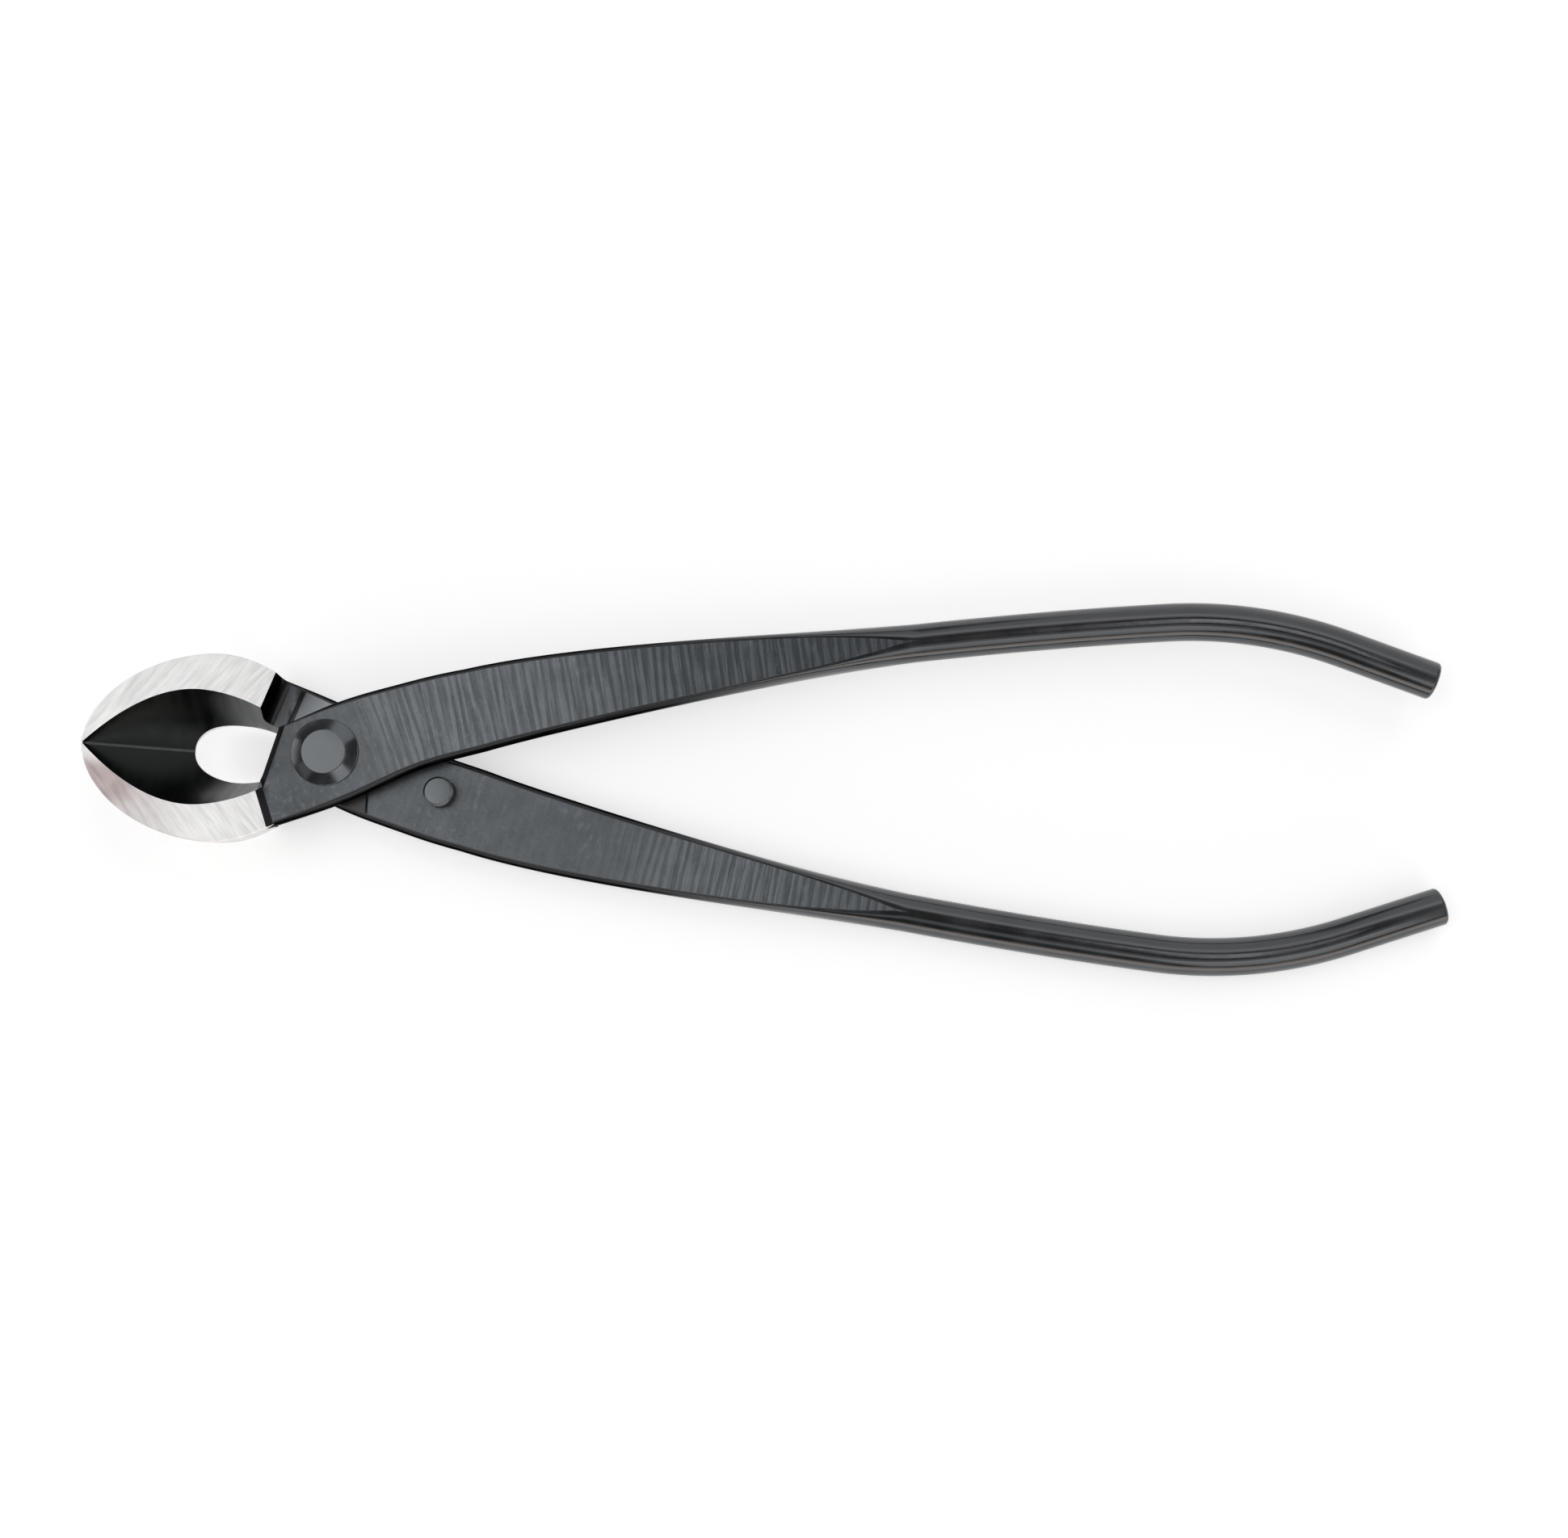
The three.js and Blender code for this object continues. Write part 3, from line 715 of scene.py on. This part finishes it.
# Room for the other lever: a filleted step from the floor height to the limit height.
def lap_cutter(name, side, floor, limit):
    up = math.copysign(1, limit - floor)
    profile = [(0, limit)]
    for step in range(FILLET_STEPS + 1):
        turn = step / FILLET_STEPS * math.pi / 2
        profile.append((NECK_FILLET * (1 - math.cos(turn)), floor + up * NECK_FILLET * (1 - math.sin(turn))))
    profile += [(JAW_HALF_WIDTH, floor), (JAW_HALF_WIDTH, limit)]
    finishes = [SCALE] * (FILLET_STEPS + 1) + [GROUND] + [SCALE] * 2
    return neck_cutter(name, side, profile, finishes)


# Sloped shoulder from the blade face down to the front lever's flat.
def shoulder_cutter(name, side):
    profile = [(0, TOP_LIMIT), (0, BLADE_FACE), (SHOULDER_WIDTH, FRONT_FLAT),
               (JAW_HALF_WIDTH, FRONT_FLAT), (JAW_HALF_WIDTH, TOP_LIMIT)]
    return neck_cutter(name, side, profile, [SCALE, SCALE, GROUND, SCALE, SCALE])


# Front lever's end over the throat, from the tang's middle out to the slanted line.
def slanted_end(name):
    outline = [END_UPPER, END_LOWER, (0, END_LOWER[1]), (0, END_UPPER[1])]
    return prism(name, outline, FRONT_UNDERSIDE, FRONT_FLAT, SCALE, GROUND)


# Chamfer on the slanted end. It ends where the shoulder's slope crosses it.
def end_chamfer_cutter(name, side):
    upper = np.array(END_UPPER)
    lower = np.array(END_LOWER)
    along = unit(lower - upper)
    inward = across_of(along)
    chamfer = [(-END_CHAMFER, TOP_LIMIT), (-END_CHAMFER, FRONT_FLAT - 2 * END_CHAMFER_DROP),
               (END_CHAMFER, FRONT_FLAT), (END_CHAMFER, TOP_LIMIT)]
    finishes = [SCALE] * len(chamfer)
    length = np.linalg.norm(lower - upper)
    cutter = swept(name, chamfer, finishes, upper - along * END_CHAMFER, along, inward, length)
    slope_end = BLADE_FACE - BLADE_STEP * JAW_HALF_WIDTH / SHOULDER_WIDTH
    slope = [(0, TOP_LIMIT), (0, BLADE_FACE), (JAW_HALF_WIDTH, slope_end), (JAW_HALF_WIDTH, TOP_LIMIT)]
    return combine(cutter, "INTERSECT", neck_cutter(name + "_slope", side, slope, finishes))


# Raised pad round the pivot, from inside the lever's flat out to the pad's face. It slopes down to the neck's
# groove on one side and to the shank on the other.
def pivot_pad(name, side, flat, face):
    outline = []
    pairs = list(zip(TANG_UPPER, TANG_LOWER, TANG_BULGES))
    for end, ordered in ((-1, pairs), (1, pairs[::-1])):
        for upper, lower, bulge in ordered:
            upper, lower = np.array(upper), np.array(lower)
            reach = np.linalg.norm(upper - lower) / 2 - bulge - PAD_MARGIN
            x, y = (upper + lower) / 2 + unit(upper - lower) * end * reach
            outline.append((x, side * y))
    root = 2 * flat - face
    pad = prism(name, outline, min(root, face), max(root, face), SCALE, PAD)
    length = 2 * JAW_HALF_WIDTH
    finishes = [SCALE, PAD, SCALE, SCALE]
    neck_side = [(GROOVE_WIDTH - PAD_NECK_SLOPE, root), (GROOVE_WIDTH + PAD_NECK_SLOPE, face),
                 (length, face), (length, root)]
    combine(pad, "INTERSECT", neck_cutter(name + "_neck", -side, neck_side, finishes))
    shank_side = [(-PAD_SHANK_SLOPE, root), (PAD_SHANK_SLOPE, face), (length, face), (length, root)]
    along = np.array((0.0, 1.0))
    start = np.array((PAD_REACH, -length))
    shank_cut = swept(name + "_shank", shank_side, finishes, start, along, np.array((-1.0, 0.0)), 2 * length)
    return combine(pad, "INTERSECT", shank_cut)


# Pieces.

def pin_place():
    controls = middle_line()
    first = handle_section(SHANK_START, across_of(unit(bezier_slope(controls, 0))))
    corner = np.array(TANG_LOWER[-1])
    along = unit(first.center - first.across * first.half_width - corner)
    away = np.array((along[1], -along[0]))
    return corner + along * PIN_ALONG_EDGE + away * (STOP_CLEARANCE + PIN_DIAMETER / 2)


def bore():
    return cylinder("bore", SHANK_DIAMETER / 2 + BORE_CLEARANCE, LOW_LIMIT, TOP_LIMIT, SCALE)


def front_lever(sections):
    piece = jaw_blank("front_lever_forging", -1, FRONT_WALL_DRAFT)
    combine(piece, "DIFFERENCE", lap_cutter("lap", -1, FRONT_UNDERSIDE, LOW_LIMIT))
    combine(piece, "DIFFERENCE", shoulder_cutter("shoulder", -1))
    combine(piece, "UNION", lever_bar("bar", 1, FRONT_UNDERSIDE, sections))
    combine(piece, "UNION", slanted_end("end"))
    combine(piece, "UNION", pivot_pad("pad", 1, FRONT_UNDERSIDE, FRONT_PAD))
    combine(piece, "DIFFERENCE", bore())
    return combine(piece, "DIFFERENCE", end_chamfer_cutter("chamfer", -1))


def back_lever(sections):
    piece = jaw_blank("back_lever_forging", 1, BACK_WALL_DRAFT)
    combine(piece, "DIFFERENCE", lap_cutter("lap", 1, BACK_FLAT, TOP_LIMIT))
    combine(piece, "UNION", lever_bar("bar", -1, BACK_UNDERSIDE, sections))
    combine(piece, "UNION", pivot_pad("pad", -1, BACK_FLAT, BACK_PAD))
    combine(piece, "DIFFERENCE", bore())
    x, y = pin_place()
    hole = cylinder("hole", PIN_DIAMETER / 2 + PIN_CLEARANCE, LOW_LIMIT, TOP_LIMIT, SCALE, x, y)
    return combine(piece, "DIFFERENCE", hole)


# A profile with its inner corners cut to small curves.
def softened(profile, softness):
    points = [profile[0]]
    for before, corner, after in zip(profile, profile[1:], profile[2:]):
        corner = np.array(corner, float)
        start = corner + unit(np.array(before) - corner) * softness
        end = corner + unit(np.array(after) - corner) * softness
        points += [tuple(bezier((start, corner, end), step / SOFT_STEPS)) for step in range(SOFT_STEPS + 1)]
    points.append(profile[-1])
    return points


def pivot_rivet():
    tail = TAIL_DIAMETER / 2
    shank = SHANK_DIAMETER / 2
    head = HEAD_DIAMETER / 2
    tail_top = BACK_UNDERSIDE - AXIAL_PLAY
    head_base = FRONT_FLAT + AXIAL_PLAY
    profile = [(0, 0), (tail - TAIL_CHAMFER, 0), (tail, TAIL_CHAMFER), (tail, tail_top), (shank, tail_top),
               (shank, head_base), (head, head_base), (head, head_base + HEAD_RIM),
               (HEAD_TOP_DIAMETER / 2, head_base + HEAD_HEIGHT), (0, head_base + HEAD_HEIGHT)]
    return turned("pivot_rivet_turned", softened(profile, min(RIVET_EDGE_SOFTNESS, HEAD_RIM / 2)), 0)


def stop_pin():
    radius = PIN_DIAMETER / 2
    low = BACK_UNDERSIDE + PIN_RECESS
    top = BACK_FLAT + PIN_HEIGHT
    profile = [(0, low), (radius, low), (radius, top - PIN_CHAMFER), (radius - PIN_CHAMFER, top), (0, top)]
    x, y = pin_place()
    return turned("stop_pin_turned", softened(profile, RIVET_EDGE_SOFTNESS), 0, x, y)


# Materials.

class Shader:
    """A node material and short ways to add to it."""

    def __init__(self, name):
        self.material = bpy.data.materials.new(name)
        self.material.use_nodes = True
        self.tree = self.material.node_tree
        self.surface = self.tree.nodes["Principled BSDF"]

    def add(self, kind, **settings):
        made = self.tree.nodes.new("ShaderNode" + kind)
        for key, value in settings.items():
            setattr(made, key, value)
        return made

    def feed(self, socket, value):
        if isinstance(value, bpy.types.NodeSocket):
            self.tree.links.new(value, socket)
        else:
            socket.default_value = value

    def math(self, operation, first, second=0.0):
        made = self.add("Math", operation=operation)
        self.feed(made.inputs[0], first)
        self.feed(made.inputs[1], second)
        return made.outputs[0]

    # Sum of values, each with its weight.
    def weighted(self, *parts):
        terms = [self.math("MULTIPLY", value, weight) for value, weight in parts]
        total = terms[0]
        for term in terms[1:]:
            total = self.math("ADD", total, term)
        return total

    def split(self, vector):
        made = self.add("SeparateXYZ")
        self.feed(made.inputs[0], vector)
        return made.outputs["X"], made.outputs["Y"]

    # Draws a pattern out across its first axis, after turning the axes about Z.
    def drawn_out(self, vector, stretch, turn=0.0):
        made = self.add("Mapping", vector_type="TEXTURE")
        self.feed(made.inputs["Vector"], vector)
        made.inputs["Scale"].default_value = (1.0, stretch, stretch)
        made.inputs["Rotation"].default_value = (0, 0, turn)
        return made.outputs[0]

    def noise(self, vector, pattern):
        made = self.add("TexNoise")
        self.feed(made.inputs["Vector"], self.drawn_out(vector, pattern.stretch, pattern.turn))
        made.inputs["Scale"].default_value = pattern.scale
        made.inputs["Detail"].default_value = pattern.detail
        made.inputs["Roughness"].default_value = pattern.roughness
        return made.outputs[0]

    def between(self, value, low, high, to_low=0.0, to_high=1.0):
        made = self.add("MapRange", interpolation_type="SMOOTHSTEP")
        for socket, number in zip(made.inputs, (value, low, high, to_low, to_high)):
            self.feed(socket, number)
        return made.outputs[0]

    def tint(self, share, low, high):
        made = self.add("Mix", data_type="RGBA")
        self.feed(made.inputs["Factor"], share)
        for socket, colour in ((made.inputs["A"], low), (made.inputs["B"], high)):
            self.feed(socket, colour if isinstance(colour, bpy.types.NodeSocket) else (*colour, 1))
        return made.outputs["Result"]

    def bump(self, height, depth):
        made = self.add("Bump")
        made.inputs["Strength"].default_value = 1.0
        made.inputs["Distance"].default_value = depth * MM
        self.feed(made.inputs["Height"], height)
        self.feed(self.surface.inputs["Normal"], made.outputs[0])

    def set(self, name, value):
        self.feed(self.surface.inputs[name], value)

    # Makes it bare metal and gives the finished material.
    def metal(self, colour, roughness, height, relief):
        self.set("Base Color", colour)
        self.set("Metallic", 1.0)
        self.set("Roughness", roughness)
        self.bump(height, relief)
        return self.material


def place_of(shader):
    return shader.add("TexCoord").outputs["Object"]


def along_lever(shader):
    return shader.add("UVMap", uv_map="lever").outputs[0]


# Grey steel with the grinding wheel's wavering lines across it. The lines fade in along the lever, small
# paler specks are scattered over it, and it grows darker towards the tang's end and, on the front lever,
# towards the handle.
def ground_steel(name, lines_span, shank_darkening):
    shader = Shader(name)
    lever = along_lever(shader)
    along, _ = shader.split(lever)
    waves = shader.add("TexWave", wave_type="BANDS", bands_direction="X")
    shader.feed(waves.inputs["Vector"], shader.drawn_out(lever, LINE_STRETCH))
    for setting, value in LINE_WAVES.items():
        waves.inputs[setting].default_value = value
    wavering = shader.weighted((waves.outputs["Fac"], 0.35), (shader.noise(lever, FINE_LINE_NOISE), 1.2))
    lined = shader.between(along, *lines_span, FAINTEST_LINES, 1.0)
    ridges = shader.math("MULTIPLY", shader.between(wavering, *RIDGE_RANGE), lined)
    grain = shader.noise(lever, GRAIN_NOISE)
    clouds = shader.noise(lever, CLOUD_NOISE)
    specks = shader.between(shader.noise(lever, SPECK_NOISE), *SPECK_RANGE)
    patches = shader.between(shader.noise(lever, SPECK_PATCH_NOISE), *SPECK_PATCH_RANGE)
    scattered = shader.math("MULTIPLY", specks, patches)
    shank_darker = shader.between(along, *SHANK_DARKER_SPAN, 0.0, shank_darkening)
    tang_darker = shader.between(along, *TANG_DARKER_SPAN, TANG_DARKENING, 0.0)
    darkened = shader.math("ADD", shank_darker, tang_darker)
    tone = shader.weighted((ridges, 0.53), (clouds, 0.6), (scattered, 0.3), (darkened, -1.0))
    roughness = shader.between(grain, *GRAIN_RANGE, *GROUND_ROUGHNESS)
    height = shader.weighted((ridges, 1.0), (grain, 0.12))
    return shader.metal(shader.tint(tone, *GROUND_COLOURS), roughness, height, GROUND_RELIEF)


# Black forging scale, faintly uneven. It is dull on the sides of tang and shank, and glossy on the handle.
def black_scale(name):
    shader = Shader(name)
    place = place_of(shader)
    along, _ = shader.split(along_lever(shader))
    handled = shader.between(along, *GLOSS_SPAN)
    clouds = shader.noise(place, SCALE_NOISE)
    pits = shader.noise(place, PIT_NOISE)
    dull = shader.tint(clouds, *DULL_SCALE_COLOURS)
    glossy = shader.tint(clouds, *GLOSSY_SCALE_COLOURS)
    shader.set("Specular Tint", shader.tint(handled, *SCALE_SHEENS))
    uneven = shader.between(clouds, *NOISE_RANGE, *SCALE_ROUGHNESS)
    roughness = shader.weighted((uneven, 1.0), (handled, -HANDLE_POLISH))
    height = shader.weighted((clouds, 0.7), (pits, 0.3))
    return shader.metal(shader.tint(handled, dull, glossy), roughness, height, SCALE_RELIEF)


# Bright steel with slanting scratches from the last grinding, which lean the other way on the other jaw.
# Towards the lower jaw's tip a painted reflection makes it darker and pinkish.
def bright_steel(name):
    shader = Shader(name)
    x, y = shader.split(place_of(shader))
    joined = shader.add("CombineXYZ")
    shader.feed(joined.inputs["X"], x)
    shader.feed(joined.inputs["Y"], shader.math("ABSOLUTE", y))
    folded = joined.outputs[0]
    scratches = shader.noise(folded, SCRATCH_NOISE)
    coarse = shader.noise(folded, COARSE_SCRATCH_NOISE)
    patches = shader.noise(folded, PATCH_NOISE)
    tone = shader.weighted((scratches, 0.5), (coarse, 0.3), (patches, 0.2))
    unshaded = shader.tint(shader.between(tone, *SCRATCH_RANGE), *BRIGHT_COLOURS)
    # Painted reflection: darker and pinkish towards the lower jaw's tip.
    lower_tip = shader.math("MULTIPLY", shader.between(x, *TIP_REFLECTION_X_SPAN), shader.between(y, *TIP_REFLECTION_Y_SPAN))
    tip_reflection = shader.math("MULTIPLY", lower_tip, shader.between(patches, *TIP_REFLECTION_RANGE, FAINTEST_TIP_REFLECTION, 1.0))
    roughness = shader.between(coarse, *NOISE_RANGE, *BRIGHT_ROUGHNESS)
    return shader.metal(shader.tint(tip_reflection, unshaded, TIP_REFLECTION_COLOUR), roughness, scratches, BRIGHT_RELIEF)


# Dark inside of the jaws, with the fine marks of the hollow grinding. A painted reflection makes it paler
# towards the throat, and a paler line along the seam is painted light.
def hollow_steel(name):
    shader = Shader(name)
    place = place_of(shader)
    x, y = shader.split(place)
    grain = shader.noise(place, HOLLOW_NOISE)
    # Painted light: a paler line along the seam.
    seam_light = shader.between(shader.math("ABSOLUTE", y), *SEAM_LIGHT_Y_SPAN)
    deep = shader.tint(grain, *DEEP_HOLLOW_COLOURS)
    # Painted reflection: paler towards the throat.
    painted_reflection = shader.tint(grain, *THROAT_HOLLOW_REFLECTION_COLOURS)
    hollow = shader.tint(shader.between(x, *HOLLOW_REFLECTION_X_SPAN), deep, painted_reflection)
    roughness = shader.between(grain, *NOISE_RANGE, *HOLLOW_ROUGHNESS)
    return shader.metal(shader.tint(seam_light, hollow, SEAM_LIGHT_COLOUR), roughness, grain, HOLLOW_RELIEF)


# Ground steel round the pivot, with painted shadow towards -Y under the front lever and painted light towards
# +Y.
def rubbed_steel_and_shade(name):
    shader = Shader(name)
    place = place_of(shader)
    _, y = shader.split(place)
    clouds = shader.noise(place, RUBBED_NOISE)
    # Painted shadow towards -Y, under the front lever, and painted light towards +Y.
    shaded = shader.tint(clouds, *PAD_SHADED_COLOURS)
    unshaded = shader.tint(clouds, *PAD_LIT_COLOURS)
    colour = shader.tint(shader.between(y, *PAD_SHADE_Y_SPAN), shaded, unshaded)
    roughness = shader.between(clouds, *NOISE_RANGE, *RUBBED_ROUGHNESS)
    return shader.metal(colour, roughness, clouds, RUBBED_RELIEF)


# Satin turned steel with fine rings round its own axis, whose place is in millimetres.
def turned_steel(name, axis, colours, roughness_range):
    shader = Shader(name)
    place = place_of(shader)
    squares = []
    for value, middle in zip(shader.split(place), axis):
        away = shader.math("SUBTRACT", value, middle * MM)
        squares.append(shader.math("MULTIPLY", away, away))
    rings = shader.add("TexNoise", noise_dimensions="1D")
    shader.feed(rings.inputs["W"], shader.math("SQRT", shader.math("ADD", *squares)))
    rings.inputs["Scale"].default_value = RING_SCALE
    clouds = shader.noise(place, TURNED_NOISE)
    tone = shader.weighted((rings.outputs[0], 0.4), (clouds, 0.6))
    roughness = shader.between(clouds, *NOISE_RANGE, *roughness_range)
    return shader.metal(shader.tint(tone, *colours), roughness, rings.outputs[0], TURNED_RELIEF)


# Distance along the lever and across it, in millimetres, for every corner of its faces.
def map_lever(piece, side, sections):
    route = np.array([section.center * (1, side) for section in sections])
    steps = np.diff(route, axis=0)
    lengths = np.linalg.norm(steps, axis=1)
    starts = np.concatenate(([0.0], np.cumsum(lengths)[:-1]))
    mesh = piece.data
    places = np.empty(len(mesh.vertices) * 3)
    mesh.vertices.foreach_get("co", places)
    plan = places.reshape(-1, 3)[:, :2]
    best = np.full(len(plan), np.inf)
    mapped = np.zeros((len(plan), 2))
    for origin, step, length, start in zip(route, steps, lengths, starts):
        away = plan - origin
        share = np.clip(away @ step / length ** 2, 0, 1)
        offset = away - share[:, None] * step
        distance = np.linalg.norm(offset, axis=1)
        nearer = distance < best
        sign = np.sign(step[0] * away[:, 1] - step[1] * away[:, 0])
        best[nearer] = distance[nearer]
        mapped[nearer, 0] = (start + share * length)[nearer]
        mapped[nearer, 1] = (sign * distance)[nearer]
    corners = np.empty(len(mesh.loops), int)
    mesh.loops.foreach_get("vertex_index", corners)
    layer = mesh.uv_layers.new(name="lever")
    layer.data.foreach_set("uv", mapped[corners].astype(np.float32).ravel())


# Gives a finished piece its materials, its shading and its place in the frame.
def dress(piece, materials, body, node):
    mesh = piece.data
    mesh.transform(Matrix.Scale(MM, 4))
    while len(mesh.materials) > len(materials):
        mesh.materials.pop()
    for index, material in enumerate(materials):
        mesh.materials[index] = material
    mesh.shade_smooth()
    mesh.set_sharp_from_angle(angle=SHARP_ANGLE)
    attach(piece, body)
    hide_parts(node)


def build_object():
    shared = [black_scale("black_scale"), bright_steel("bright_steel"), hollow_steel("hollow_steel"),
              rubbed_steel_and_shade("rubbed_steel_and_shade")]
    sections = lever_sections(FRONT_END_LENGTH, FRONT_END_SLOPE)
    front = front_lever(sections)
    map_lever(front, 1, sections)
    ground = ground_steel("front_ground_steel", FRONT_LINES_SPAN, FRONT_SHANK_DARKENING)
    dress(front, [ground, *shared], "front", "front_lever")

    sections = lever_sections(BACK_END_LENGTH, BACK_END_SLOPE)
    back = back_lever(sections)
    map_lever(back, -1, sections)
    ground = ground_steel("back_ground_steel", BACK_LINES_SPAN, BACK_SHANK_DARKENING)
    dress(back, [ground, *shared], "back", "back_lever")

    rivet_steel = turned_steel("rivet_turned_steel", (0, 0), RIVET_COLOURS, RIVET_ROUGHNESS)
    dress(pivot_rivet(), [rivet_steel], "back", "pivot_rivet")
    pin_steel = turned_steel("pin_turned_steel", pin_place(), PIN_COLOURS, PIN_ROUGHNESS)
    dress(stop_pin(), [pin_steel], "back", "stop_pin")


# Stage: floor, light and camera, in metres.

def build_floor():
    half = FLOOR_SIZE / 2
    corners = [(-half, -half), (half, -half), (half, half), (-half, half)]
    mesh = bpy.data.meshes.new("floor")
    mesh.from_pydata([(x, y, -FLOOR_DROP) for x, y in corners], [], [(0, 1, 2, 3)])
    floor = bpy.data.objects.new("floor", mesh)
    bpy.context.scene.collection.objects.link(floor)
    shader = Shader("pale_floor")
    shader.set("Base Color", FLOOR_COLOUR)
    shader.set("Roughness", FLOOR_ROUGHNESS)
    shader.set("Specular IOR Level", 0.0)
    path = shader.add("LightPath")
    seen = shader.math("MAXIMUM", path.outputs["Is Camera Ray"], path.outputs["Is Glossy Ray"])
    seen = shader.math("MAXIMUM", seen, path.outputs["Is Transmission Ray"])
    away = shader.add("VectorMath", operation="LENGTH")
    shader.feed(away.inputs[0], place_of(shader))
    glow = shader.between(away.outputs["Value"], *FLOOR_GLOW_REACH, FLOOR_GLOW_NEAR, FLOOR_GLOW_FAR)
    shader.set("Emission Color", (1, 1, 1, 1))
    shader.set("Emission Strength", shader.math("MULTIPLY", seen, glow))
    mesh.materials.append(shader.material)


# A dim room that grows white towards the horizon, where the floor ends, with a soft ring of light high up.
def build_world():
    world = bpy.data.worlds.new("studio")
    world.use_nodes = True
    bpy.context.scene.world = world
    tree = world.node_tree
    background = tree.nodes["Background"]
    background.inputs["Strength"].default_value = 1.0
    direction = tree.nodes.new("ShaderNodeTexCoord")
    split = tree.nodes.new("ShaderNodeSeparateXYZ")
    tree.links.new(direction.outputs["Generated"], split.inputs[0])
    ramp = tree.nodes.new("ShaderNodeValToRGB")
    ramp.color_ramp.interpolation = "EASE"
    stops = ramp.color_ramp.elements
    while len(stops) < len(ROOM_LIGHTS):
        stops.new(0.5)
    for stop, (height, level) in zip(stops, ROOM_LIGHTS):
        stop.position = math.sin(math.radians(height))
        stop.color = (level, level, level, 1)
    tree.links.new(split.outputs["Z"], ramp.inputs[0])
    tree.links.new(ramp.outputs["Color"], background.inputs["Color"])


# A flat panel of light of a given brightness that faces the object and isn't seen by the camera itself.
def build_panel(name, shape, place, size, brightness, colour):
    light = bpy.data.lights.new(name, "AREA")
    light.shape = shape
    light.size, light.size_y = size
    light.energy = brightness * math.pi * size[0] * size[1]
    light.color = colour
    panel = bpy.data.objects.new(name, light)
    panel.location = place
    panel.rotation_euler = (Vector(PANEL_TARGET) - Vector(place)).to_track_quat("-Z", "Y").to_euler()
    panel.visible_camera = False
    bpy.context.scene.collection.objects.link(panel)


def build_camera():
    right = Vector((1, 0, 0))
    up = Vector((0, math.cos(CAMERA_TILT), math.sin(CAMERA_TILT)))
    back = right.cross(up)
    turned_right = right * math.cos(CAMERA_ROLL) + up * math.sin(CAMERA_ROLL)
    turned_up = up * math.cos(CAMERA_ROLL) - right * math.sin(CAMERA_ROLL)
    data = bpy.data.cameras.new("camera")
    data.sensor_fit = "HORIZONTAL"
    data.sensor_width = SENSOR_WIDTH
    data.lens = FOCAL_PIXELS * SENSOR_WIDTH / IMAGE_WIDTH
    data.clip_start = CLIP_START
    camera = bpy.data.objects.new("camera", data)
    bpy.context.scene.collection.objects.link(camera)
    matrix = Matrix((turned_right, turned_up, back)).transposed().to_4x4()
    matrix.translation = (CAMERA_TARGET + back * CAMERA_DISTANCE) * MM
    camera.matrix_world = matrix
    bpy.context.scene.camera = camera


build_object()
build_floor()
build_world()
for panel in PANELS:
    build_panel(*panel)
build_camera()
bpy.context.scene.view_settings.view_transform = "Standard"
